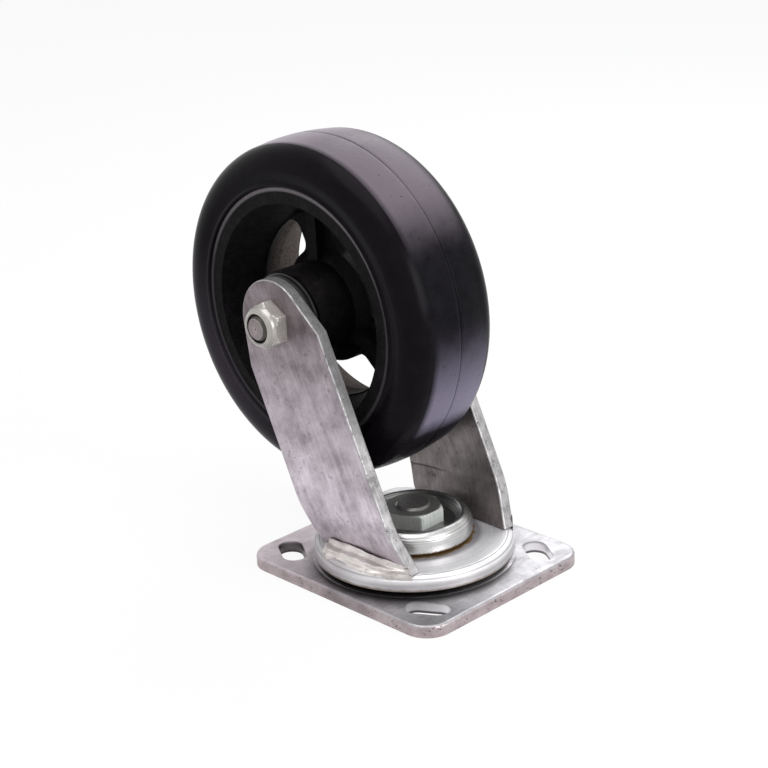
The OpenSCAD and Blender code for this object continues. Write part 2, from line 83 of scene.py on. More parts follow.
def put(tree, kind, sockets=None, **settings):
    """Adds a shader node, sets it, and fills or links its sockets."""
    made = tree.nodes.new("ShaderNode" + kind)
    for name, value in settings.items():
        setattr(made, name, value)
    for name, value in (sockets or {}).items():
        if isinstance(value, bpy.types.NodeSocket):
            tree.links.new(value, made.inputs[name])
        else:
            made.inputs[name].default_value = value
    return made


def work(tree, operation, *values):
    """Result of a Math node on these values."""
    return put(tree, "Math", dict(enumerate(values)), operation=operation).outputs[0]


def times(tree, first, *others):
    """Product of values."""
    for other in others:
        first = work(tree, "MULTIPLY", first, other)
    return first


def pushed(tree, value, cloud, reach):
    """Value with a cloud's share of a reach added, so that its edges wander."""
    return work(tree, "MULTIPLY_ADD", cloud, reach, value)


def spread(tree, value, low, high, to_low=0.0, to_high=1.0, curve="LINEAR"):
    """Value moved from one range to another, and held inside it."""
    sockets = {"Value": value, "From Min": low, "From Max": high, "To Min": to_low, "To Max": to_high}
    return put(tree, "MapRange", sockets, interpolation_type=curve).outputs["Result"]


def noise(tree, vector, scale, detail=3.0, rough=0.55):
    """Cloudy value between 0 and 1, with about scale patches to the metre."""
    sockets = {"Vector": vector, "Scale": scale, "Detail": detail, "Roughness": rough}
    return put(tree, "TexNoise", sockets).outputs["Fac"]


def tint(tree, share, first, second):
    """Colour between the first and the second."""
    made = put(tree, "Mix", {0: share, 6: first, 7: second}, data_type="RGBA")
    return made.outputs[2]


def placed(tree, centre=(0, 0, 0), turn=(0, 0, 0), scale=(1, 1, 1)):
    """Object coordinates about a centre, turned and stretched."""
    spot = put(tree, "TexCoord").outputs["Object"]
    moved = put(tree, "Mapping", {"Vector": spot, "Location": [-c for c in centre]})
    sockets = {"Vector": moved.outputs[0], "Rotation": turn, "Scale": scale}
    return put(tree, "Mapping", sockets).outputs[0]


def axes(tree, vector):
    """The three coordinates of a vector, by name."""
    return put(tree, "SeparateXYZ", {"Vector": vector}).outputs


def new_group(name, inputs, outputs):
    """Shader node group with these sockets, its inputs' values and its outputs' ends."""
    group = bpy.data.node_groups.new(name, "ShaderNodeTree")
    for label, kind, value in inputs:
        socket = group.interface.new_socket(label, in_out="INPUT", socket_type="NodeSocket" + kind)
        if value is not None:
            socket.default_value = value
    for label, kind in outputs:
        group.interface.new_socket(label, in_out="OUTPUT", socket_type="NodeSocket" + kind)
    start = group.nodes.new("NodeGroupInput")
    end = group.nodes.new("NodeGroupOutput")
    return group, start.outputs, end.inputs


def use_group(tree, group, sockets):
    """A placed copy of a node group, with its own values."""
    return put(tree, "Group", sockets, node_tree=group).outputs


def new_skin(name, constants):
    """Material with one Principled shader, and the values that are the same all over it."""
    skin = bpy.data.materials.new(name)
    skin.use_nodes = True
    shader = skin.node_tree.nodes["Principled BSDF"]
    for socket, value in constants.items():
        shader.inputs[socket].default_value = value
    return skin, skin.node_tree, shader.inputs


def wear(tree, shader, colour, roughness, relief, depth):
    """Links a colour, a roughness and a relief of this depth in millimetres to a shader."""
    bump = put(tree, "Bump", {"Height": relief, "Distance": depth * MM})
    tree.links.new(colour, shader["Base Color"])
    tree.links.new(roughness, shader["Roughness"])
    tree.links.new(bump.outputs["Normal"], shader["Normal"])


def paint(piece, *skins):
    """Gives a piece its materials, and keeps the faces that were shared out among them."""
    if piece.data.materials:
        piece.data.materials.clear()
    for skin in skins:
        piece.data.materials.append(skin)


def rolled_zinc_group():
    """Zinc over rolled steel: clouds, streaks along local Z, fine grain, and dark pits."""
    group, value, result = new_group(
        "rolled zinc",
        [("Vector", "Vector", None), ("Dark", "Color", PLATE_DARK), ("Light", "Color", PLATE_LIGHT),
         ("Pit Colour", "Color", SPECK_BROWN), ("Pits", "Float", 0.5)],
        [("Color", "Color"), ("Roughness", "Float"), ("Height", "Float")])
    spot = value["Vector"]
    drawn = put(group, "Mapping", {"Vector": spot, "Scale": (1, 1, STREAK_STRETCH)}).outputs[0]
    pitted = put(group, "Mapping", {"Vector": spot, "Scale": (1, 1, SPECK_STRETCH)}).outputs[0]
    cloud = noise(group, spot, CLOUDS, 4, 0.6)
    streak = noise(group, drawn, STREAKS, 3, 0.6)
    grain = noise(group, spot, GRAINS, 2, 0.6)
    mottled = pushed(group, times(group, cloud, CLOUD_SHARE), streak, STREAK_SHARE)
    tone = spread(group, pushed(group, mottled, grain, GRAIN_SHARE), 0.37, 0.63)
    speck = spread(group, noise(group, pitted, SPECKS, 2, 0.5), 0.60, 0.69)
    patch = spread(group, noise(group, spot, SPECK_PATCHES, 2, 0.5), 0.42, 0.60)
    pits = times(group, speck, patch, value["Pits"])
    plain = tint(group, tone, value["Dark"], value["Light"])
    group.links.new(tint(group, pits, plain, value["Pit Colour"]), result["Color"])
    gloss = spread(group, tone, 0, 1, ZINC_DULL, ZINC_GLOSSY)
    group.links.new(pushed(group, gloss, pits, 0.3), result["Roughness"])
    relief = pushed(group, times(group, streak, 0.3), grain, 0.25)
    group.links.new(work(group, "SUBTRACT", relief, pits), result["Height"])
    return group


rolled_zinc = rolled_zinc_group()


def rolled_skin(name, turn, dark, light, pits, depth, fine=1.0, metal=0.9):
    """Rolled zinc with its streaks turned along the piece."""
    skin, tree, shader = new_skin(name, {"Metallic": metal})
    spot = placed(tree, turn=turn, scale=(fine, fine, fine))
    worn = use_group(tree, rolled_zinc, {"Vector": spot, "Dark": dark, "Light": light, "Pits": pits})
    wear(tree, shader, worn["Color"], worn["Roughness"], worn["Height"], depth)
    return skin


def plate_zinc():
    """Rolled zinc, rough where it was sheared, with painted light at the rear corner, painted shade round
    the swivel, and painted light and shade in the slots.
    """
    skin, tree, shader = new_skin("plate zinc", {"Metallic": PLATE_METAL})
    spot = placed(tree)
    axis = axes(tree, spot)
    corner = work(tree, "ADD", axis["X"], axis["Y"])
    # Painted light: paler towards the rear corner.
    pale = spread(tree, pushed(tree, corner, noise(tree, spot, 40), LIT_CORNER_WANDER), LIT_CORNER_START, LIT_CORNER_FULL)
    sheared = times(tree, spread(tree, axis["Z"], PLATE_TOP - SHEAR_DEPTH, PLATE_TOP, 1, 0),
                    work(tree, "GREATER_THAN", axis["Z"], PLATE_FOOT))
    worn = use_group(tree, rolled_zinc, {
        "Vector": placed(tree, turn=(math.pi / 2, 0, 0), scale=(PLATE_FINE, PLATE_FINE, PLATE_FINE)),
        "Dark": tint(tree, sheared, tint(tree, pale, PLATE_DARK, LIT_CORNER_DARK), SHEARED_DARK),
        "Light": tint(tree, sheared, tint(tree, pale, PLATE_LIGHT, LIT_CORNER_LIGHT), SHEARED_LIGHT),
        "Pits": spread(tree, sheared, 0, 1, PLATE_PITS, SHEARED_PITS)})
    in_slots = sheared
    for way, reach in zip("XY", SLOT_REACH):
        within = work(tree, "LESS_THAN", work(tree, "ABSOLUTE", axis[way]), reach)
        in_slots = times(tree, in_slots, within)
    # Painted light and shade on the slots' walls, with painted shade along their foot.
    walls = tint(tree, spread(tree, axis["X"], SLOT_REAR, SLOT_FRONT), SLOT_SHADE_GREY, SLOT_LIT_PALE)
    walls = tint(tree, spread(tree, axis["Z"], SLOT_FOOT, SLOT_CLEAR, SLOT_PAINT_SHARE, 0), walls, SHADE_BLACK)
    slot_painted = tint(tree, times(tree, in_slots, SLOT_PAINT_SHARE), worn["Color"], walls)
    # Painted shade: a dark ring round the swivel, a little glossier.
    away = put(tree, "VectorMath", {0: spot, 1: SHADE_RING_CENTRE}, operation="DISTANCE").outputs["Value"]
    ragged = pushed(tree, away, noise(tree, spot, 110, 4, 0.6), SHADE_RING_WANDER)
    painted_shade = spread(tree, ragged, SHADE_RING_FULL, SHADE_RING_START, SHADE_RING_SHARE, 0)
    gloss = pushed(tree, worn["Roughness"], painted_shade, SHADE_RING_SHINE)
    wear(tree, shader, tint(tree, painted_shade, slot_painted, SHADE_BLACK), gloss, worn["Height"], depth=0.06)
    return skin


paint(solids["top_plate"], plate_zinc())


# Kingpin and its nut: a turned steel pin through plate, disc and cap, with a zinc-plated hexagon nut.
# The pin's end keeps the fine rings of the lathe, and painted shade darkens the nut's top and one side.
BRIGHT_DARK = (0.50, 0.49, 0.49, 1)
BRIGHT_LIGHT = (0.80, 0.79, 0.79, 1)
TURNED_DULL, TURNED_GLOSSY = 0.36, 0.22
PIN_DARK = (0.12, 0.113, 0.11, 1)
PIN_LIGHT = (0.22, 0.21, 0.205, 1)
FLAT_DARK = (0.62, 0.65, 0.61, 1)
FLAT_LIGHT = (0.90, 0.93, 0.89, 1)
# Painted shade: the nut's top and its -Y side are darkened.
NUT_SHADE = (0.075, 0.072, 0.07, 1)
TOP_SHADE, SIDE_SHADE = 0.9, 0.6
TOP_SHADE_START, TOP_SHADE_FULL = 28.1 * MM, 28.4 * MM
SIDE_SHADE_FULL, SIDE_SHADE_END = -7.5 * MM, -6.5 * MM


def off_axis(tree, first, second):
    """Distance from an axis, by the two coordinates across it."""
    flat = put(tree, "CombineXYZ", {"X": first, "Y": second}).outputs[0]
    return put(tree, "VectorMath", {0: flat}, operation="LENGTH").outputs["Value"]


def turned_zinc_group():
    """Bright zinc over a turned face: fine rings about local Z, with faint clouds."""
    group, value, result = new_group(
        "turned zinc",
        [("Vector", "Vector", None), ("Dark", "Color", BRIGHT_DARK), ("Light", "Color", BRIGHT_LIGHT)],
        [("Color", "Color"), ("Roughness", "Float"), ("Height", "Float"), ("Radius", "Float")])
    spot = value["Vector"]
    axis = axes(group, spot)
    radius = off_axis(group, axis["X"], axis["Y"])
    lathe = put(group, "CombineXYZ", {"X": radius, "Y": axis["Z"]}).outputs[0]
    rings = noise(group, lathe, 900, 4, 0.7)
    cloud = noise(group, spot, 60, 4, 0.6)
    tone = spread(group, pushed(group, times(group, cloud, 0.55), rings, 0.45), 0.38, 0.62)
    group.links.new(tint(group, tone, value["Dark"], value["Light"]), result["Color"])
    group.links.new(spread(group, tone, 0, 1, TURNED_DULL, TURNED_GLOSSY), result["Roughness"])
    group.links.new(rings, result["Height"])
    group.links.new(radius, result["Radius"])
    return group


turned_zinc = turned_zinc_group()


def turned_skin(name, centre, turn, dark, light, depth, metal=0.95):
    """Turned zinc with its rings about the piece's own axis."""
    skin, tree, shader = new_skin(name, {"Metallic": metal})
    worn = use_group(tree, turned_zinc, {
        "Vector": placed(tree, centre, turn), "Dark": dark, "Light": light})
    wear(tree, shader, worn["Color"], worn["Roughness"], worn["Height"], depth)
    return skin


def nut_zinc():
    """Pale zinc on the nut's flats, with painted shade darkening its top and one side."""
    skin, tree, shader = new_skin("nut zinc", {"Metallic": 0.25})
    spot = placed(tree)
    axis = axes(tree, spot)
    # Painted shade on the top and the -Y side.
    top = spread(tree, axis["Z"], TOP_SHADE_START, TOP_SHADE_FULL, 0, TOP_SHADE)
    side = spread(tree, axis["Y"], SIDE_SHADE_FULL, SIDE_SHADE_END, SIDE_SHADE, 0)
    painted_shade = work(tree, "MAXIMUM", top, side)
    worn = use_group(tree, rolled_zinc, {
        "Vector": spot, "Dark": tint(tree, painted_shade, FLAT_DARK, NUT_SHADE),
        "Light": tint(tree, painted_shade, FLAT_LIGHT, NUT_SHADE), "Pits": 0.3})
    wear(tree, shader, worn["Color"], worn["Roughness"], worn["Height"], depth=0.03)
    return skin


pin_skin = turned_skin("kingpin zinc", (0, 0, 0), (0, 0, 0), PIN_DARK, PIN_LIGHT, depth=0.03, metal=0.4)
paint(solids["kingpin"], pin_skin)
paint(solids["kingpin_nut"], nut_zinc())


# Ball rows, sleeve, rollers and cage: hard polished steel, packed with brown grease.
# They sit inside the swivel and the hub, and only their edges can be seen.
BALL_STEEL = (0.42, 0.41, 0.40, 1)
GREASE_BROWN = (0.15, 0.09, 0.034, 1)


def greased_skin():
    """Polished steel with smears of grease."""
    skin, tree, shader = new_skin("greased steel", {"Coat Roughness": 0.15})
    smear = spread(tree, noise(tree, placed(tree), 260, 4, 0.6), 0.42, 0.58)
    tree.links.new(spread(tree, smear, 0, 1, 1.0, 0.1), shader["Metallic"])
    gloss = spread(tree, smear, 0, 1, 0.12, 0.4)
    wear(tree, shader, tint(tree, smear, BALL_STEEL, GREASE_BROWN), gloss, smear, depth=0.1)
    return skin


greased_steel = greased_skin()
for name in ("load_balls", "retainer_balls", "axle_sleeve", "bearing_rollers", "roller_cage"):
    paint(solids[name], greased_steel)


# Base disc of the yoke: a turned and plated steel disc that rides on the load balls.
# Grease works out round the cap and lies on the disc in a brown line, and two lines
# are turned in its rounded edge. Painted shade darkens its rear side, its skirt and a ring next to the cap.
DISC_DARK = (0.64, 0.63, 0.64, 1)
DISC_LIGHT = (0.90, 0.89, 0.905, 1)
DISC_METAL, GREASE_METAL = 0.6, 0.1
# Painted shade: the disc is darker on its rear side and on its skirt.
DISC_SHADE = (0.33, 0.295, 0.31, 1)
DISC_SHADE_FULL, DISC_SHADE_START = -48.0 * MM, -12.0 * MM
DISC_SHADE_REAR, DISC_SHADE_SKIRT = 0.65, 0.4
GREASE_FULL, GREASE_END = 29.2 * MM, 30.2 * MM
GREASE_WANDER = 4.5 * MM
DISC_SHOULDER, DISC_FACE = 14.2 * MM, 14.6 * MM
# Painted shade: a grey ring on the disc next to the cap.
VALLEY_SHADE_RING = 28.3 * MM
VALLEY_SHADE_FULL, VALLEY_SHADE_END = 0.8 * MM, 3.0 * MM
VALLEY_SHADE_SHARE = 0.75
VALLEY_SHADE_GREY = (0.21, 0.20, 0.228, 1)
LINE_RINGS = (42.1 * MM, 44.2 * MM)
LINE_WIDTH = 0.4 * MM
LINE_SHARE = 0.7
LINE_GREY = (0.24, 0.23, 0.24, 1)
SKIRT_SHADE_FULL, SKIRT_SHADE_END = 12.0 * MM, 13.0 * MM
SKIRT_DIRT_FULL, SKIRT_DIRT_END = 7.4 * MM, 8.4 * MM
SKIRT_WANDER = -1.6 * MM
SKIRT_DIRT = 0.75


def apart(tree, value, place):
    """How far a value is from a place."""
    return work(tree, "ABSOLUTE", work(tree, "SUBTRACT", value, place))


def thin_lines(tree, value, places, width):
    """Mask of thin lines where a value comes near these places."""
    lines = 0.0
    for place in places:
        line = spread(tree, apart(tree, value, place), 0, width, 1, 0)
        lines = work(tree, "MAXIMUM", lines, line)
    return lines


def disc_skin():
    """Turned zinc with its lines, grease round the cap, dirt along the skirt's lower edge, and painted
    shade on its rear side, its skirt and a ring next to the cap.
    """
    skin, tree, shader = new_skin("disc zinc", {})
    spot = placed(tree)
    axis = axes(tree, spot)
    worn = use_group(tree, turned_zinc, {"Vector": spot, "Dark": DISC_DARK, "Light": DISC_LIGHT})
    # Painted shade on the rear side and the skirt.
    rear = spread(tree, work(tree, "ADD", axis["X"], axis["Y"]), DISC_SHADE_FULL, DISC_SHADE_START, DISC_SHADE_REAR, 0)
    skirt = spread(tree, axis["Z"], SKIRT_SHADE_FULL, SKIRT_SHADE_END, DISC_SHADE_SKIRT, 0)
    shaded = tint(tree, work(tree, "MAXIMUM", rear, skirt), worn["Color"], DISC_SHADE)
    lines = thin_lines(tree, worn["Radius"], LINE_RINGS, LINE_WIDTH)
    lined = tint(tree, times(tree, lines, LINE_SHARE), shaded, LINE_GREY)
    # Painted shade: a grey ring next to the cap.
    valley_shade = spread(tree, apart(tree, worn["Radius"], VALLEY_SHADE_RING), VALLEY_SHADE_FULL, VALLEY_SHADE_END, VALLEY_SHADE_SHARE, 0)
    valley_shaded = tint(tree, valley_shade, lined, VALLEY_SHADE_GREY)
    wander = pushed(tree, worn["Radius"], noise(tree, spot, 160, 4, 0.65), GREASE_WANDER)
    on_top = times(tree, spread(tree, wander, GREASE_FULL, GREASE_END, 1, 0),
                   spread(tree, axis["Z"], DISC_SHOULDER, DISC_FACE))
    skirt_line = pushed(tree, axis["Z"], noise(tree, spot, 300, 3, 0.6), SKIRT_WANDER)
    dirt = spread(tree, skirt_line, SKIRT_DIRT_FULL, SKIRT_DIRT_END, SKIRT_DIRT, 0)
    grease = work(tree, "MAXIMUM", on_top, dirt)
    tree.links.new(spread(tree, grease, 0, 1, DISC_METAL, GREASE_METAL), shader["Metallic"])
    gloss = work(tree, "ADD", worn["Roughness"], 0.16)
    relief = pushed(tree, worn["Height"], lines, -5.0)
    wear(tree, shader, tint(tree, grease, valley_shaded, GREASE_BROWN), gloss, relief, depth=0.03)
    return skin


paint(solids["yoke_base"], disc_skin())


# Fork legs: cut from rolled steel bar, pressed with one bend above the disc, and zinc plated.
# The cut edges are a little rounded, and each foot stands on the disc. Painted light brightens the foot,
# painted shade darkens the upper end and the inside, and the press has left a short mark on the inside.
AXLE = Vector((-44, 0, 114.3))
BEND_FRONT, BEND_HEIGHT = -6.8, 33
LEAN = math.atan((BEND_FRONT - AXLE.x) / (AXLE.z - BEND_HEIGHT))
LEG_TURN = (0, LEAN, 0)
LEG_INNER, LEG_OUTER = 32, 38
LEG_MIDDLE = (LEG_INNER + LEG_OUTER) / 2
LEG_END_RADIUS = 19.5
LEG_END_STEPS = 40
FRONT_CORNER = (26.4, -10.5)
REAR_CORNER = (-24.4, -14.5)
DISC_TOP = 15
HEEL_RADIUS = 11
HEEL_STEPS = 12
BEND_Z = {LEG_INNER: BEND_HEIGHT, LEG_OUTER: 32.16}
BEND_ANGLE = math.radians(15.9)
BEND_REACH = 5.5
BEND_BELOW, BEND_SPAN = 6.2, 13.4
BEND_SLICES = 12
CUT_ROUNDING = 0.9
FACE_TILT = 0.7
# Painted light at the foot and painted shade towards the axle.
LIT_FOOT_DARK = (0.37, 0.328, 0.365, 1)
LIT_FOOT_LIGHT = (0.80, 0.72, 0.795, 1)
UPPER_SHADE_DARK = (0.118, 0.099, 0.107, 1)
UPPER_SHADE_LIGHT = (0.305, 0.256, 0.277, 1)
LIT_FOOT_Z, UPPER_SHADE_Z = 50 * MM, 133 * MM
UPPER_SHADE_WANDER = 30 * MM
LEG_PITS, INNER_PITS, CUT_PITS = 0.38, 0.55, 1.0
CUT_DARK = (0.20, 0.195, 0.198, 1)
CUT_LIGHT = (0.54, 0.528, 0.535, 1)
# Painted shade: the inner faces are darker, and darker still below the bend.
INNER_SHADE_DARK = (0.15, 0.132, 0.132, 1)
INNER_SHADE_LIGHT = (0.33, 0.295, 0.295, 1)
SHADED_DARK = (0.12, 0.105, 0.105, 1)
SHADED_LIGHT = (0.285, 0.25, 0.25, 1)
PRESS_MARK = 30.3 * MM
PRESS_SHADE_FULL, PRESS_SHADE_END = 29.8 * MM, 30.9 * MM
PRESS_LINE_FULL, PRESS_LINE_END = 0.1 * MM, 0.6 * MM
PRESS_SLOPE = 0.08
PRESS_WANDER = 1.2 * MM
PRESS_REAR, PRESS_FADE, PRESS_STOP = -33.0 * MM, -15.0 * MM, -6.0 * MM
PRESS_SHARE = 0.8
PRESS_BLACK = (0.03, 0.026, 0.026, 1)


def bar_point(across, along):
    """Point of the leg's bar, by its place in front of the axle's line and its height along that line."""
    return AXLE + Vector((across * math.cos(LEAN) - along * math.sin(LEAN), 0,
                          across * math.sin(LEAN) + along * math.cos(LEAN)))


def edge_x(across, height):
    """Forward place of a bar edge at a height."""
    return bar_point(across, (height - AXLE.z - across * math.sin(LEAN)) / math.cos(LEAN)).x


def bend_shift(face_y, height):
    """How far the press pushes one face of the bar in at a height."""
    depth = BEND_Z[face_y] - height
    if depth <= -BEND_REACH:
        return 0.0
    if depth < BEND_REACH:
        depth = (depth + BEND_REACH) ** 2 / (4 * BEND_REACH)
    return math.tan(BEND_ANGLE) * depth


def arc_by_spin(mesh, first, centre, axis, angle, steps):
    """Chain of vertices from the first one, turned about a centre."""
    start = mesh.verts.new(first)
    bmesh.ops.spin(mesh, geom=[start], cent=centre, axis=axis, angle=angle, steps=steps)
    chain = [start]
    while True:
        onward = [e.other_vert(chain[-1]) for e in chain[-1].link_edges]
        onward = [v for v in onward if v not in chain]
        if not onward:
            return chain
        chain.append(onward[0])


def touch(corner, side):
    """Direction from the axle to where a crop's line touches the round end."""
    return math.atan2(corner[1], corner[0]) + side * math.acos(LEG_END_RADIUS / math.hypot(*corner))


def finish_piece(mesh, name, smooth_angle=35):
    """Object from a mesh in millimetres, with its doubles merged and its faces turned outwards."""
    bmesh.ops.remove_doubles(mesh, verts=mesh.verts, dist=0.001)
    bmesh.ops.recalc_face_normals(mesh, faces=mesh.faces)
    bmesh.ops.scale(mesh, vec=(MM, MM, MM), verts=mesh.verts)
    data = bpy.data.meshes.new(name)
    for face in mesh.faces:
        face.smooth = True
    mesh.to_mesh(data)
    mesh.free()
    data.set_sharp_from_angle(angle=math.radians(smooth_angle))
    piece = bpy.data.objects.new(name, data)
    bpy.context.scene.collection.objects.link(piece)
    return piece


def round_edges(piece, width, segments=3, angle=40):
    """Rounds a piece's edges that are sharper than the angle."""
    bevel = piece.modifiers.new("worn edges", "BEVEL")
    bevel.width = width * MM
    bevel.segments = segments
    bevel.limit_method = "ANGLE"
    bevel.angle_limit = math.radians(angle)
    bevel.harden_normals = True
    bevel.use_clamp_overlap = True
    return piece


def leg_outline(mesh):
    """The leg's outline at y 0: round end, rear edge, heel, foot and front edge."""
    front = touch(FRONT_CORNER, 1) + LEAN
    rear = touch(REAR_CORNER, -1) + LEAN + 2 * math.pi
    first = AXLE + LEG_END_RADIUS * Vector((math.cos(front), 0, math.sin(front)))
    outline = arc_by_spin(mesh, first, AXLE, (0, -1, 0), rear - front, LEG_END_STEPS)
    outline.append(mesh.verts.new(bar_point(*REAR_CORNER)))
    heel_x = edge_x(REAR_CORNER[0], DISC_TOP) + HEEL_RADIUS / math.tan(math.pi / 4 + LEAN / 2)
    heel = Vector((heel_x, 0, DISC_TOP + HEEL_RADIUS))
    heel_first = heel - HEEL_RADIUS * Vector((math.cos(LEAN), 0, math.sin(LEAN)))
    outline += arc_by_spin(mesh, heel_first, heel, (0, -1, 0), math.pi / 2 - LEAN, HEEL_STEPS)
    outline.append(mesh.verts.new((edge_x(FRONT_CORNER[0], DISC_TOP), 0, DISC_TOP)))
    outline.append(mesh.verts.new(bar_point(*FRONT_CORNER)))
    bmesh.ops.delete(mesh, geom=list(mesh.edges), context="EDGES_FACES")
    return outline


def fork_leg(name, side):
    """One leg: outline, thickness, then the bend, with its outside, cut edges and inside told apart."""
    mesh = bmesh.new()
    outline = leg_outline(mesh)
    for vert in outline:
        vert.co.y = side * LEG_INNER
    face = mesh.faces.new(outline)
    thick = bmesh.ops.extrude_face_region(mesh, geom=[face], use_keep_orig=True)
    grown = [v for v in thick["geom"] if isinstance(v, bmesh.types.BMVert)]
    bmesh.ops.translate(mesh, vec=(0, side * (LEG_OUTER - LEG_INNER), 0), verts=grown)
    for step in range(BEND_SLICES + 1):
        height = BEND_Z[LEG_OUTER] - BEND_BELOW + step * BEND_SPAN / BEND_SLICES
        everything = list(mesh.verts) + list(mesh.edges) + list(mesh.faces)
        bmesh.ops.bisect_plane(mesh, geom=everything, plane_co=(0, 0, height), plane_no=(0, 0, 1))
    for vert in mesh.verts:
        face_y = LEG_INNER if abs(vert.co.y) < LEG_MIDDLE else LEG_OUTER
        vert.co.y -= side * bend_shift(face_y, vert.co.z)
    for face in mesh.faces:
        face.normal_update()
        middle = face.calc_center_median()
        inside = side * middle.y < LEG_MIDDLE - bend_shift(LEG_INNER, middle.z)
        face.material_index = 1 if abs(face.normal.y) < FACE_TILT else 2 if inside else 0
    return round_edges(finish_piece(mesh, name), CUT_ROUNDING)


def leg_zinc():
    """Rolled zinc along the leg, with painted light at the foot and painted shade towards the axle."""
    skin, tree, shader = new_skin("leg zinc", {"Metallic": 0.9})
    spot = placed(tree, turn=LEG_TURN)
    height = axes(tree, placed(tree))["Z"]
    # Painted light low on the leg, turning to painted shade towards the axle.
    ragged = pushed(tree, height, noise(tree, spot, 45, 3, 0.6), UPPER_SHADE_WANDER)
    painted_shade = spread(tree, ragged, LIT_FOOT_Z, UPPER_SHADE_Z)
    worn = use_group(tree, rolled_zinc, {
        "Vector": spot, "Dark": tint(tree, painted_shade, LIT_FOOT_DARK, UPPER_SHADE_DARK),
        "Light": tint(tree, painted_shade, LIT_FOOT_LIGHT, UPPER_SHADE_LIGHT), "Pits": LEG_PITS})
    wear(tree, shader, worn["Color"], worn["Roughness"], worn["Height"], depth=0.06)
    return skin


def inner_shaded_zinc():
    """Zinc on a leg's inside with painted shade, darker still below the bend, and the press tool's short,
    thin mark.
    """
    skin, tree, shader = new_skin("inner leg shaded zinc", {"Metallic": 0.8})
    spot = placed(tree, turn=LEG_TURN)
    axis = axes(tree, placed(tree))
    from_rear = work(tree, "SUBTRACT", axis["X"], PRESS_REAR)
    slanted = pushed(tree, axis["Z"], from_rear, -PRESS_SLOPE)
    wavy = pushed(tree, slanted, noise(tree, spot, 200), PRESS_WANDER)
    # Painted shade below the bend.
    below = spread(tree, wavy, PRESS_SHADE_FULL, PRESS_SHADE_END, 1, 0)
    line = spread(tree, apart(tree, wavy, PRESS_MARK), PRESS_LINE_FULL, PRESS_LINE_END, PRESS_SHARE, 0)
    mark = times(tree, line, spread(tree, axis["X"], PRESS_FADE, PRESS_STOP, 1, 0))
    worn = use_group(tree, rolled_zinc, {
        "Vector": spot, "Dark": tint(tree, below, INNER_SHADE_DARK, SHADED_DARK),
        "Light": tint(tree, below, INNER_SHADE_LIGHT, SHADED_LIGHT), "Pits": INNER_PITS})
    relief = work(tree, "SUBTRACT", worn["Height"], mark)
    wear(tree, shader, tint(tree, mark, worn["Color"], PRESS_BLACK), worn["Roughness"], relief, depth=0.08)
    return skin


leg_skin = leg_zinc()
cut_skin = rolled_skin("cut edge zinc", LEG_TURN, CUT_DARK, CUT_LIGHT, CUT_PITS, depth=0.15, fine=2.2,
                       metal=0.75)
inner_shade_skin = inner_shaded_zinc()
for name, side in (("nut_side_leg", -1), ("head_side_leg", 1)):
    leg = fork_leg(name + "_bar", side)
    paint(leg, leg_skin, cut_skin, inner_shade_skin)
    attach(leg, "fork")
    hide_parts(name)


# Weld beads: one run along the outside of each foot, laid by hand and plated with the fork.
# The bead keeps its ripples and two or three long ridges, and ends in a blunt lump.
WELD_START, WELD_END = -19.5, 31.0
WELD_RINGS = 64
WELD_ARC = math.radians(112)
WELD_ARC_STEPS = 14
WELD_FACE = 0.8
WELD_CLIMB, WELD_CLIMB_SHARE = 1.3, 0.18
WELD_TALL = 4.3
WELD_WIDE_LEAST, WELD_WIDE_MOST = 0.8, 9.2
WELD_LEAD_IN, WELD_LEAD_OUT = 0.10, 0.035
WELD_SUNK, WELD_IN_FOOT = 6.0, 0.4
END_WIDE, END_TALL = 0.25, 0.2
WIDE_RIPPLES = [(0.4, 0.31, 0), (0.15, 0.9, 1)]
TALL_RIPPLES = [(0.35, 0.27, 2), (0.12, 0.8, 0)]
RIDGE_WANDER = [(0.12, 0.22, 0)]
BULGE, RIDGE, RIDGES = 0.12, 0.05, 2.2
FOOT_OUTER = 33.1
DISC_FLAT, DISC_EDGE = 44.3, 44.4
WELD_DARK = (0.44, 0.40, 0.39, 1)
WELD_LIGHT = (0.82, 0.78, 0.75, 1)


def ripple(x, waves):
    """Sum of waves along the bead, each with its height, pace and start."""
    return sum(height * math.sin(pace * x + start) for height, pace, start in waves)


def bead_rings(mesh, side):
    """Closed rings of vertices drawn along X, one after the other."""
    chain = arc_by_spin(mesh, (0, 0, 1), (0, 0, 0), (-1, 0, 0), -side * WELD_ARC, WELD_ARC_STEPS)
    mesh.edges.new((chain[-1], chain[0]))
    rings = [list(chain)]
    for _ in range(WELD_RINGS):
        edges = [mesh.edges.get(pair) for pair in zip(rings[-1], rings[-1][1:] + rings[-1][:1])]
        grown = bmesh.ops.extrude_edge_only(mesh, edges=edges)
        fresh = [v for v in grown["geom"] if isinstance(v, bmesh.types.BMVert)]
        partner = {}
        for vert in fresh:
            for edge in vert.link_edges:
                other = edge.other_vert(vert)
                if other in rings[-1]:
                    partner[other] = vert
        rings.append([partner[v] for v in rings[-1]])
        bmesh.ops.translate(mesh, vec=(1, 0, 0), verts=rings[-1])
    for ring in (rings[0], rings[-1]):
        mesh.faces.new(ring)
    return rings


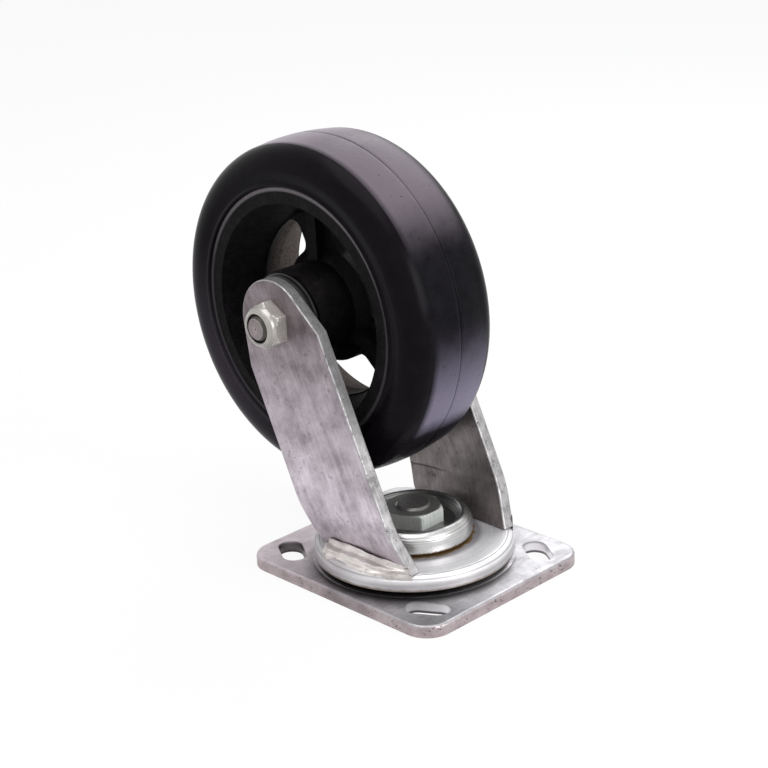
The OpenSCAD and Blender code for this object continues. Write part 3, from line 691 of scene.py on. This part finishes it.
def weld_bead(name, side):
    """A bead drawn along the foot, each ring swelled to the metal that was laid there."""
    mesh = bmesh.new()
    for number, ring in enumerate(bead_rings(mesh, side)):
        share = number / WELD_RINGS
        x = WELD_START + share * (WELD_END - WELD_START)
        end = min(1.0, share / WELD_LEAD_IN, (1 - share) / WELD_LEAD_OUT)
        swell = math.sqrt(max(0.0, 1 - (1 - end) ** 2))
        room = math.sqrt(max(0.0, DISC_FLAT ** 2 - x * x)) - FOOT_OUTER
        reach = max(WELD_WIDE_LEAST, min(WELD_WIDE_MOST, room))
        wide = (END_WIDE + (1 - END_WIDE) * swell) * (reach + ripple(x, WIDE_RIPPLES))
        tall = (END_TALL + (1 - END_TALL) * swell) * (WELD_TALL + ripple(x, TALL_RIPPLES))
        for place, vert in enumerate(ring):
            turn = place / (len(ring) - 1)
            down = min(1.0, turn / WELD_FACE)
            ridges = math.sin(2 * math.pi * (RIDGES * down + ripple(x, RIDGE_WANDER)))
            bulge = BULGE * math.sin(math.pi * down) + RIDGE * ridges
            out = wide * (down + bulge)
            up = tall * (1 - down + bulge) + WELD_CLIMB * max(0.0, 1 - down / WELD_CLIMB_SHARE)
            if turn > WELD_FACE:
                up = -WELD_SUNK * (turn - WELD_FACE) / (1 - WELD_FACE)
            slope = max(0.0, up) * math.tan(BEND_ANGLE)
            vert.co = Vector((x, side * (FOOT_OUTER - WELD_IN_FOOT + out + slope), DISC_TOP + up))
            radius = math.hypot(vert.co.x, vert.co.y)
            if radius > DISC_EDGE:
                vert.co.x *= DISC_EDGE / radius
                vert.co.y *= DISC_EDGE / radius
    bead = finish_piece(mesh, name, smooth_angle=80)
    smooth = bead.modifiers.new("melted", "SUBSURF")
    smooth.levels = smooth.render_levels = 1
    return bead


weld_skin = rolled_skin("weld zinc", (0, math.pi / 2, 0), WELD_DARK, WELD_LIGHT, pits=0.5, depth=0.15)
for name, side in (("nut_side_weld", -1), ("head_side_weld", 1)):
    bead = weld_bead(name + "_bead", side)
    paint(bead, weld_skin)
    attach(bead, "fork")
    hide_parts(name)


# Retainer cap: a turned, dished steel cap that holds the upper ball row down under the kingpin nut.
# Its rim is bright, with two fine lines; the dish is darkened with painted shade, and grease gathers at the
# foot.
CAP_HOLE = 7.96
CAP_UNDER, CAP_FLOOR, CAP_BRIM, CAP_FOOT = 17.8, 21.5, 25.5, 15.8
CAP_BORE = 24.6
CAP_OUTSIDE = [(22.9, CAP_BRIM), (23.9, 25.0), (25.0, 23.9), (25.9, 22.6), (26.4, 21.4), (26.4, 16.6),
               (25.6, CAP_FOOT), (CAP_BORE, CAP_FOOT), (CAP_BORE, CAP_UNDER)]
CAP_INSIDE = [(17.6, CAP_UNDER), (CAP_HOLE, CAP_UNDER), (CAP_HOLE, CAP_FLOOR), (19.0, CAP_FLOOR),
              (21.2, 25.1), (21.7, CAP_BRIM)]
RETAINER_RACE = Vector((20.5, 0, 16.4))
RACE_RADIUS = 3.225
RACE_STEPS = 10
CAP_STEPS = 128
CAP_DARK = (0.42, 0.417, 0.415, 1)
CAP_LIGHT = (0.68, 0.678, 0.672, 1)
CAP_METAL = 0.95
CAP_LINES = (23.4 * MM, 22.2 * MM)
CAP_LINE_WIDTH = 0.28 * MM
CAP_LINE_SHARE = 0.75
CAP_GREASE_FULL, CAP_GREASE_END = 15.6 * MM, 16.3 * MM
CAP_GREASE_WANDER = -1.8 * MM
# Painted shade: the dish inside the cap's rim is darkened.
DISH_SHADE_FULL, DISH_SHADE_END = 21.0 * MM, 21.4 * MM
DISH_SHADE_SHARE = 0.72
DISH_SHADE_DARK = (0.11, 0.108, 0.105, 1)


def cap_skin():
    """Turned zinc, bright and lined on the outside, with painted shade in the dish, and greasy at the foot.
    """
    skin, tree, shader = new_skin("cap zinc", {})
    spot = placed(tree)
    height = axes(tree, spot)["Z"]
    worn = use_group(tree, turned_zinc, {"Vector": spot, "Dark": CAP_DARK, "Light": CAP_LIGHT})
    lines = times(tree, thin_lines(tree, height, CAP_LINES, CAP_LINE_WIDTH), CAP_LINE_SHARE)
    lined = tint(tree, lines, worn["Color"], LINE_GREY)
    # Painted shade in the dish.
    dish_shade = spread(tree, worn["Radius"], DISH_SHADE_FULL, DISH_SHADE_END, DISH_SHADE_SHARE, 0)
    shaded = tint(tree, dish_shade, lined, DISH_SHADE_DARK)
    ragged = pushed(tree, height, noise(tree, spot, 420, 3, 0.6), CAP_GREASE_WANDER)
    foot = spread(tree, ragged, CAP_GREASE_FULL, CAP_GREASE_END, 1, 0)
    tree.links.new(spread(tree, foot, 0, 1, CAP_METAL, GREASE_METAL), shader["Metallic"])
    gloss = pushed(tree, worn["Roughness"], dish_shade, 0.12)
    relief = pushed(tree, worn["Height"], lines, -3.0)
    wear(tree, shader, tint(tree, foot, shaded, GREASE_BROWN), gloss, relief, depth=0.04)
    return skin


def spun(section, steps):
    """Mesh spun about the swivel axis from a section's points, radius and height."""
    mesh = bmesh.new()
    chain = [mesh.verts.new((r, 0, z)) for r, z in section]
    ring = [mesh.edges.new(pair) for pair in zip(chain, chain[1:] + chain[:1])]
    bmesh.ops.spin(mesh, geom=chain + ring, cent=(0, 0, 0), axis=(0, 0, 1), angle=2 * math.pi,
                   steps=steps, use_merge=True)
    return mesh


def race_groove():
    """Points of the groove that the retainer balls run in, from its outer edge inwards."""
    start = math.asin((CAP_UNDER - RETAINER_RACE.z) / RACE_RADIUS)
    turns = [start + (math.pi - 2 * start) * step / RACE_STEPS for step in range(RACE_STEPS)]
    return [(RETAINER_RACE.x + RACE_RADIUS * math.cos(turn), RETAINER_RACE.z + RACE_RADIUS * math.sin(turn))
            for turn in turns]


cap_section = CAP_OUTSIDE + race_groove() + CAP_INSIDE
cap = finish_piece(spun(cap_section, CAP_STEPS), "retainer_cap_dish", smooth_angle=40)
paint(cap, cap_skin())
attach(cap, "plate")
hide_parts("retainer_cap")


# Axle bolt with its locking nut: a plated hexagon bolt through both legs, its thread ending in a nut
# whose rounded collar grips a dark plastic ring. The bolt's end is chamfered, and its thread shows
# as rings, darkened with painted shade.
AXLE_SPOT = AXLE * MM
AXLE_TURN = (math.pi / 2, 0, 0)
HEX_HALF = 9.5
NUT_SEGMENTS = 96
NUT_RINGS = [(11.0, LEG_OUTER), (11.0, 42.4), (10.4, 43.1), (9.7, 43.8), (9.15, 44.4), (8.95, 45.1),
             (8.6, 45.8), (8.1, 46.35), (7.5, 46.75), (7.0, 46.95), (6.75, 46.9), (6.5, 46.6),
             (6.42, 44.6), (6.42, LEG_OUTER)]
HEAD_RINGS = [(6.2, LEG_OUTER), (11.0, LEG_OUTER), (11.0, 45.0), (10.4, 45.5), (9.5, 45.9),
              (8.8, 45.75), (0.5, 45.75)]
SHANK_SEGMENTS = 64
SHANK_START, THREAD_START, BOLT_END = -38.5, 36.0, 47.8
THREAD_PITCH = 1.6
THREAD_RUN_OUT = 2.2
BOLT_RADIUS, THREAD_ROOT, BOLT_TIP = 6.35, 5.75, 4.5
CENTRE_MARK = 0.3
THREAD_TURN = [(BOLT_RADIUS, 0.1), (THREAD_ROOT, 0.7), (THREAD_ROOT, 0.9), (BOLT_RADIUS, 1.5)]
BOLT_POINT = [(BOLT_RADIUS - 0.1, -2.0), (BOLT_TIP + 0.2, -0.35), (BOLT_TIP - 0.2, 0), (3.1, -0.1),
              (2.9, -0.3), (CENTRE_MARK, -0.35)]
NUT_DARK = (0.30, 0.284, 0.265, 1)
NUT_LIGHT = (0.66, 0.63, 0.585, 1)
END_DARK = (0.15, 0.122, 0.127, 1)
END_LIGHT = (0.40, 0.335, 0.345, 1)
BOLT_METAL = 0.45
# Painted shade: the thread under the nut's collar is near black.
THREAD_SHADE_DARK = (0.035, 0.033, 0.03, 1)
THREAD_SHADE_LIGHT = (0.12, 0.115, 0.105, 1)
LATHE_DEPTH = 0.05
RING_DARK = (0.02, 0.025, 0.035, 1)
RING_LIGHT = (0.06, 0.065, 0.075, 1)


def on_axle(mesh, side):
    """Stands a piece that is spun about Z on the axle, its Z pointing out at one side."""
    turn = Matrix.Rotation(-side * math.pi / 2, 3, "X")
    bmesh.ops.rotate(mesh, cent=(0, 0, 0), matrix=turn, verts=mesh.verts)
    bmesh.ops.translate(mesh, vec=AXLE, verts=mesh.verts)
    return mesh


def hexagon_spun(section, name, side):
    """Spun section cut to a hexagon, as a nut is turned from hexagon bar."""
    mesh = spun(section, NUT_SEGMENTS)
    for vert in mesh.verts:
        angle = math.atan2(vert.co.y, vert.co.x)
        flat = HEX_HALF / math.cos((angle + math.pi / 6) % (math.pi / 3) - math.pi / 6)
        radius = math.hypot(vert.co.x, vert.co.y)
        if radius > flat:
            vert.co.x *= flat / radius
            vert.co.y *= flat / radius
    return finish_piece(on_axle(mesh, side), name, smooth_angle=24)


def bolt_shank():
    """Shank with its rolled thread under and past the nut, and a chamfered end."""
    section = [(CENTRE_MARK, SHANK_START), (BOLT_RADIUS, SHANK_START), (BOLT_RADIUS, THREAD_START)]
    turns = int((BOLT_END - THREAD_RUN_OUT - THREAD_START) / THREAD_PITCH)
    for turn in range(turns):
        start = THREAD_START + turn * THREAD_PITCH
        section += [(radius, start + along) for radius, along in THREAD_TURN]
    section += [(radius, BOLT_END + along) for radius, along in BOLT_POINT]
    mesh = spun(section, SHANK_SEGMENTS)
    for face in mesh.faces:
        middle = face.calc_center_median()
        threaded = middle.z > THREAD_START and math.hypot(middle.x, middle.y) > BOLT_TIP
        face.material_index = 1 if threaded else 0
    return finish_piece(on_axle(mesh, -1), "axle_bolt_shank", smooth_angle=28)


def ring_nylon():
    """Dark scuffed plastic."""
    skin, tree, shader = new_skin("locking ring", {"Specular IOR Level": 0.3})
    scuff = noise(tree, placed(tree), 900, 3, 0.6)
    tree.links.new(tint(tree, scuff, RING_DARK, RING_LIGHT), shader["Base Color"])
    tree.links.new(spread(tree, scuff, 0.3, 0.7, 0.4, 0.6), shader["Roughness"])
    return skin


def axle_skin(name, dark, light, metal):
    """Turned zinc with its rings about the axle."""
    return turned_skin(name, AXLE_SPOT, AXLE_TURN, dark, light, LATHE_DEPTH, metal)


shank = bolt_shank()
head = hexagon_spun(HEAD_RINGS, "axle_bolt_head", 1)
nut = hexagon_spun(NUT_RINGS, "axle_nut_collar", -1)
bolt_skin = axle_skin("bolt zinc", NUT_DARK, NUT_LIGHT, BOLT_METAL)
end_skin = axle_skin("bolt end zinc", END_DARK, END_LIGHT, BOLT_METAL)
# Painted shade on the thread.
thread_shade_skin = axle_skin("shaded thread", THREAD_SHADE_DARK, THREAD_SHADE_LIGHT, metal=0.95)
paint(shank, end_skin, thread_shade_skin)
paint(head, bolt_skin)
paint(nut, bolt_skin)
for piece in (shank, head, nut):
    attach(piece, "fork")
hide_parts("axle_bolt")
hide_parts("axle_nut")
paint(solids["locking_ring"], ring_nylon())


# Thrust washers: a pair of dark oiled steel rings at each end of the hub, with a groove between them
# that keeps the grease in.
WASHER_BORE = 9.55
WASHER_SECTION = [(WASHER_BORE, 28.82), (20.1, 28.82), (20.3, 29.0), (20.3, 29.75), (20.1, 29.95),
                  (18.4, 30.05), (18.4, 30.45), (19.5, 30.55), (19.7, 30.75), (19.7, 31.8),
                  (19.5, 31.98), (WASHER_BORE, 31.98)]
WASHER_SEGMENTS = 96
WASHER_DARK = (0.02, 0.019, 0.02, 1)
WASHER_LIGHT = (0.075, 0.07, 0.073, 1)
washer_skin = axle_skin("washer steel", WASHER_DARK, WASHER_LIGHT, metal=0.5)
for name, side in (("nut_side_washer", -1), ("head_side_washer", 1)):
    rings = on_axle(spun(WASHER_SECTION, WASHER_SEGMENTS), side)
    washer = finish_piece(rings, name + "_pair", smooth_angle=30)
    paint(washer, washer_skin)
    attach(washer, "fork")
    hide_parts(name)


# Wheel core: grey iron cast in sand, with a hub, three ribbed spokes and a rim, painted black.
# The paint is thin, so the sand's grain shows, and rust comes through in flecks. It misses most
# of the rim's inside, and a painted highlight runs round the rim beside the tyre, paler at the top.
CORE_BLACK = (0.0035, 0.0032, 0.0036, 1)
CORE_WORN = (0.013, 0.0105, 0.0122, 1)
CORE_RUST = (0.060, 0.036, 0.024, 1)
CORE_RAW_DARK = (0.050, 0.040, 0.036, 1)
CORE_RAW_LIGHT = (0.20, 0.165, 0.15, 1)
RAW_START, RAW_INNER, RAW_OUTER, RAW_END = 40.5 * MM, 41.5 * MM, 49.2 * MM, 49.6 * MM
RAW_SIDE = (-4.0 * MM, 2.0 * MM)
# Painted highlight: a pale ring round the rim beside the tyre, paler towards the top.
RIM_GLINT_START, RIM_GLINT_END = 55.2 * MM, 56.9 * MM
RIM_GLINT_FADE = 0.4 * MM
RIM_GLINT_DARK = (0.055, 0.049, 0.055, 1)
RIM_GLINT_PALE = (0.19, 0.17, 0.18, 1)
RIM_GLINT_RISE = (15 * MM, 52 * MM)


def core_skin():
    """Black paint over a sand casting, bare inside the rim, with a painted highlight round its edge."""
    skin, tree, shader = new_skin("black casting", {"Specular IOR Level": 0.06})
    spot = placed(tree, AXLE_SPOT)
    axis = axes(tree, spot)
    radius = off_axis(tree, axis["X"], axis["Z"])
    sand = noise(tree, spot, 900, 5, 0.7)
    lumps = noise(tree, spot, 180, 3, 0.55)
    worn = spread(tree, pushed(tree, times(tree, lumps, 0.4), sand, 0.6), 0.46, 0.66)
    rust = spread(tree, noise(tree, spot, 330, 4, 0.65), 0.66, 0.76)
    painted = tint(tree, rust, tint(tree, worn, CORE_BLACK, CORE_WORN), CORE_RUST)
    # Painted highlight round the rim's edge.
    line = times(tree,
                 spread(tree, radius, RIM_GLINT_START - RIM_GLINT_FADE, RIM_GLINT_START + RIM_GLINT_FADE),
                 spread(tree, radius, RIM_GLINT_END - RIM_GLINT_FADE, RIM_GLINT_END, 1, 0))
    glint_colour = tint(tree, spread(tree, axis["Z"], *RIM_GLINT_RISE), RIM_GLINT_DARK, RIM_GLINT_PALE)
    glinted = tint(tree, line, painted, glint_colour)
    raw = tint(tree, spread(tree, sand, 0.35, 0.65), CORE_RAW_DARK, CORE_RAW_LIGHT)
    bare = times(tree, spread(tree, radius, RAW_START, RAW_INNER),
                 spread(tree, radius, RAW_OUTER, RAW_END, 1, 0), spread(tree, axis["Y"], *RAW_SIDE))
    gloss = pushed(tree, spread(tree, sand, 0.3, 0.7, 0.38, 0.60), bare, 0.3)
    wear(tree, shader, tint(tree, bare, glinted, raw), gloss, pushed(tree, sand, lumps, 1.5), depth=0.35)
    return skin


paint(solids["wheel_core"], core_skin())


# Tyre: solid rubber moulded on the rim, with round shoulders, a parting line round the tread
# and a small raised lip beside the rim. Painted light lies on parts of the tread and the sidewalls,
# and the sidewalls are blacker and smoother.
TYRE_RADIUS = 76.2
TYRE_HALF = 25.4
TREAD_HALF = 14.6
TREAD_CROWN = 1.1
CROWN_MARGIN, CROWN_STEPS = 0.8, 10
SHOULDER_RADIUS = 10.8
SHOULDER_TURN, SHOULDER_STEPS = math.radians(86), 14
SIDE_SECTION = [(22.7, 57.05), (24.5, 57.15), (24.95, 57.4), (25.1, 57.9), (24.95, 58.4), (24.6, 58.8),
                (24.5, 59.4), (24.7, 60.6), (25.1, 62.2), (TYRE_HALF, 64.2)]
PARTING_HALF = 0.6
PARTING_LINE = [(0.35, 0.12), (0.22, 0.4), (0, 0.45)]
TYRE_STEPS = 144
TREAD_EDGE = 17.3
SIDEWALL_TOP = 60.0
SIDE_DARK = (0.0036, 0.0024, 0.0036, 1)
SIDE_LIGHT = (0.0066, 0.0048, 0.0066, 1)
TREAD_DARK = (0.003, 0.0025, 0.0038, 1)
TREAD_LIGHT = (0.009, 0.008, 0.0105, 1)
BLOOM_TINT = (0.92, 0.80, 0.92, 1)
BLOOM_ROUGHNESS = 0.18
PAINTED_LIGHT_EDGE, PAINTED_LIGHT_FADE, PAINTED_LIGHT_WANDER = 3.5 * MM, 8 * MM, 6 * MM
# Each layer of painted light: colour, direction from the axle, where it starts and is full that way,
# where it ends, and its limits across the tyre.
# Painted highlight on the tread's top, paler towards the rear, and a bluish painted reflection low on the
# front.
TREAD_PAINTED_LIGHT = [
    ((0.155, 0.131, 0.155, 1), (0, 0, 1), (37 * MM, 64 * MM), 90 * MM, (-18.5 * MM, 18.5 * MM)),
    ((0.30, 0.26, 0.30, 1), (-0.6, 0, 0.8), (54 * MM, 76 * MM), 90 * MM, (-18.5 * MM, 18.5 * MM)),
    ((0.17, 0.152, 0.21, 1), (0, 0, -1), (-4 * MM, 36 * MM), 41 * MM, (-15.5 * MM, 21 * MM))]
# Painted light: the sidewalls are a little paler low at the rear.
SIDE_PAINTED_LIGHT = [
    ((0.05, 0.042, 0.053, 1), (-0.8, 0, -0.6), (30 * MM, 85 * MM), 90 * MM, (-30 * MM, 30 * MM))]


def tyre_section(mesh):
    """Half of the tyre's section: side, shoulder, crown, and the parting line's small groove."""
    shoulder = TYRE_RADIUS - TREAD_CROWN - SHOULDER_RADIUS
    crown = (TREAD_HALF ** 2 + TREAD_CROWN ** 2) / (2 * TREAD_CROWN)
    crown_turn = math.asin((TREAD_HALF - CROWN_MARGIN) / crown)
    crown_edge = (0, -crown * math.sin(crown_turn), TYRE_RADIUS - crown * (1 - math.cos(crown_turn)))
    chain = [mesh.verts.new((0, -y, r)) for y, r in SIDE_SECTION]
    chain += arc_by_spin(mesh, (0, -TYRE_HALF, shoulder), (0, -TREAD_HALF, shoulder), (-1, 0, 0),
                         SHOULDER_TURN, SHOULDER_STEPS)
    chain += arc_by_spin(mesh, crown_edge, (0, 0, TYRE_RADIUS - crown), (-1, 0, 0),
                         crown_turn - PARTING_HALF / crown, CROWN_STEPS)
    chain += [mesh.verts.new((0, -y, TYRE_RADIUS - depth)) for y, depth in PARTING_LINE]
    bmesh.ops.delete(mesh, geom=list(mesh.edges), context="EDGES_FACES")
    return [mesh.edges.new(pair) for pair in zip(chain, chain[1:])]


def tyre():
    """The section, mirrored, closed under the rubber and spun about the axle."""
    mesh = bmesh.new()
    section = tyre_section(mesh)
    bmesh.ops.mirror(mesh, geom=list(mesh.verts) + section, merge_dist=0.001, axis="Y")
    mesh.edges.new([v for v in mesh.verts if len(v.link_edges) == 1])
    bmesh.ops.spin(mesh, geom=list(mesh.verts) + list(mesh.edges), cent=(0, 0, 0), axis=(0, 1, 0),
                   angle=2 * math.pi, steps=TYRE_STEPS, use_merge=True)
    for face in mesh.faces:
        middle = face.calc_center_median()
        radius = math.hypot(middle.x, middle.z)
        face.material_index = 1 if abs(middle.y) < TREAD_EDGE and radius > SIDEWALL_TOP else 0
    bmesh.ops.translate(mesh, vec=AXLE, verts=mesh.verts)
    return finish_piece(mesh, "rubber_tyre_moulding", smooth_angle=32)


def rubber_skin(name, dark, light, specular, smooth, rough, depth, light_layers, bloom=0.0):
    """Black rubber with moulding clouds, fine grain and pale specks, a waxy bloom and layers of painted
    light.
    """
    skin, tree, shader = new_skin(name, {
        "Specular IOR Level": specular, "Sheen Weight": bloom, "Sheen Roughness": BLOOM_ROUGHNESS,
        "Sheen Tint": BLOOM_TINT})
    spot = placed(tree, AXLE_SPOT)
    across = axes(tree, spot)["Y"]
    cloud = noise(tree, spot, 120, 4, 0.6)
    grain = noise(tree, spot, 2200, 3, 0.6)
    scuffs = spread(tree, noise(tree, spot, 620, 2, 0.5), 0.66, 0.74)
    mottled = spread(tree, pushed(tree, times(tree, cloud, 0.6), grain, 0.4), 0.35, 0.65)
    tone = work(tree, "MAXIMUM", mottled, times(tree, scuffs, 0.8))
    kept = spread(tree, work(tree, "MAXIMUM", spread(tree, tone, 0, 1, 0, 0.15), scuffs), 0, 1, 1, 0.45)
    rubber = tint(tree, tone, dark, light)
    # Each layer is painted light laid over the rubber.
    for colour, towards, (start, full), end, (low, high) in light_layers:
        along = put(tree, "VectorMath", {0: spot, 1: towards}, operation="DOT_PRODUCT").outputs["Value"]
        ragged = pushed(tree, along, cloud, PAINTED_LIGHT_WANDER)
        light_layer = times(tree, spread(tree, ragged, start, full, curve="SMOOTHSTEP"), kept,
                      spread(tree, ragged, end, end + PAINTED_LIGHT_FADE, 1, 0),
                      spread(tree, across, low, low + PAINTED_LIGHT_EDGE),
                      spread(tree, across, high - PAINTED_LIGHT_EDGE, high, 1, 0))
        rubber = tint(tree, light_layer, rubber, colour)
    gloss = spread(tree, tone, 0, 1, smooth, rough)
    relief = pushed(tree, pushed(tree, cloud, scuffs, 0.6), grain, 0.5)
    wear(tree, shader, rubber, gloss, relief, depth)
    return skin


tyre_piece = tyre()
paint(tyre_piece,
      rubber_skin("sidewall rubber", SIDE_DARK, SIDE_LIGHT, specular=0.05, smooth=0.22, rough=0.32,
                  depth=0.03, light_layers=SIDE_PAINTED_LIGHT),
      rubber_skin("tread rubber", TREAD_DARK, TREAD_LIGHT, specular=0.04, smooth=0.24, rough=0.36,
                  depth=0.06, light_layers=TREAD_PAINTED_LIGHT, bloom=0.05))
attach(tyre_piece, "wheel")
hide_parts("rubber_tyre")


# Floor, background and lamps: a pale studio floor, white all round, a large soft lamp overhead
# and weaker ones from the front and the rear.
FLOOR_HALF = 6000
FLOOR_DARK = (0.88, 0.88, 0.88, 1)
FLOOR_LIGHT = (0.92, 0.92, 0.92, 1)
FLOOR_GLOW = 0.9
WHITE = (1, 1, 1, 1)
FILL_TINT, FILL_LEVEL = (0.95, 0.97, 1.0, 1), 0.45


def floor_skin():
    """Matt pale floor that shows white to the camera and in reflections, and keeps a soft shadow."""
    skin, tree, shader = new_skin("studio floor", {"Roughness": 0.9, "Specular IOR Level": 0.1})
    patches = noise(tree, placed(tree), 3)
    tree.links.new(tint(tree, patches, FLOOR_DARK, FLOOR_LIGHT), shader["Base Color"])
    ray = put(tree, "LightPath").outputs
    seen = work(tree, "MAXIMUM", ray["Is Camera Ray"], ray["Is Glossy Ray"])
    glow = put(tree, "Emission", {"Color": WHITE, "Strength": 1.0}).outputs[0]
    matt = tree.nodes["Principled BSDF"].outputs[0]
    mixed = put(tree, "MixShader", {0: times(tree, seen, FLOOR_GLOW), 1: matt, 2: glow})
    tree.links.new(mixed.outputs[0], tree.nodes["Material Output"].inputs["Surface"])
    return skin


floor_mesh = bmesh.new()
bmesh.ops.create_grid(floor_mesh, x_segments=2, y_segments=2, size=FLOOR_HALF)
floor = finish_piece(floor_mesh, "studio_floor")
paint(floor, floor_skin())

world = bpy.data.worlds.new("studio")
bpy.context.scene.world = world
world.use_nodes = True
sky = world.node_tree
sky.nodes.clear()
ray = put(sky, "LightPath").outputs
shown = work(sky, "MAXIMUM", ray["Is Camera Ray"], ray["Is Glossy Ray"])
shown = work(sky, "MAXIMUM", shown, ray["Is Transmission Ray"])
fill = put(sky, "Background", {"Color": FILL_TINT, "Strength": FILL_LEVEL})
white = put(sky, "Background", {"Color": WHITE, "Strength": 1.0})
both = put(sky, "MixShader", {0: shown, 1: fill.outputs[0], 2: white.outputs[0]})
sky.links.new(both.outputs[0], put(sky, "OutputWorld").inputs["Surface"])


def soft_lamp(name, place, aim, size, power):
    """Square area lamp pointed at a spot."""
    light = bpy.data.lights.new(name, "AREA")
    light.shape = "SQUARE"
    light.size = size
    light.energy = power
    lamp = bpy.data.objects.new(name, light)
    bpy.context.scene.collection.objects.link(lamp)
    lamp.location = place
    lamp.rotation_euler = (Vector(aim) - Vector(place)).to_track_quat("-Z", "Y").to_euler()


soft_lamp("overhead softbox", place=(0.05, -0.15, 1.1), aim=(0, 0, 0.08), size=0.9, power=6.5)
soft_lamp("front softbox", place=(1.0, 0.1, 0.45), aim=(0, 0, 0.06), size=0.6, power=6)
soft_lamp("rear softbox", place=(-0.35, 0.75, 0.75), aim=(-0.04, 0, 0.12), size=0.7, power=4)


# Camera: stands in front of the nut's side, a little above the castor, and is rolled slightly.
# Its place and its lens were fitted to the plate, the wheel and the fork.
CAMERA_EYE = Vector((543.99, -545.44, 384.19)) * MM
CAMERA_TURN = math.radians(45.72)
CAMERA_RISE = math.radians(21.14)
CAMERA_ROLL = math.radians(-2.28)
SENSOR_WIDTH, FOCAL_LENGTH, FAR_CLIP = 36, 89.25, 100
right = Vector((math.cos(CAMERA_TURN), math.sin(CAMERA_TURN), 0))
back = Vector((math.sin(CAMERA_TURN) * math.cos(CAMERA_RISE),
               -math.cos(CAMERA_TURN) * math.cos(CAMERA_RISE), math.sin(CAMERA_RISE)))
up = back.cross(right)
across = math.cos(CAMERA_ROLL) * right + math.sin(CAMERA_ROLL) * up
upward = math.cos(CAMERA_ROLL) * up - math.sin(CAMERA_ROLL) * right
lens = bpy.data.cameras.new("camera")
lens.sensor_width = SENSOR_WIDTH
lens.lens = FOCAL_LENGTH
lens.clip_end = FAR_CLIP
camera = bpy.data.objects.new("camera", lens)
bpy.context.scene.collection.objects.link(camera)
facing = Matrix((across, upward, back)).transposed().to_4x4()
camera.matrix_world = Matrix.Translation(CAMERA_EYE) @ facing
bpy.context.scene.camera = camera
bpy.context.scene.view_settings.view_transform = "Standard"
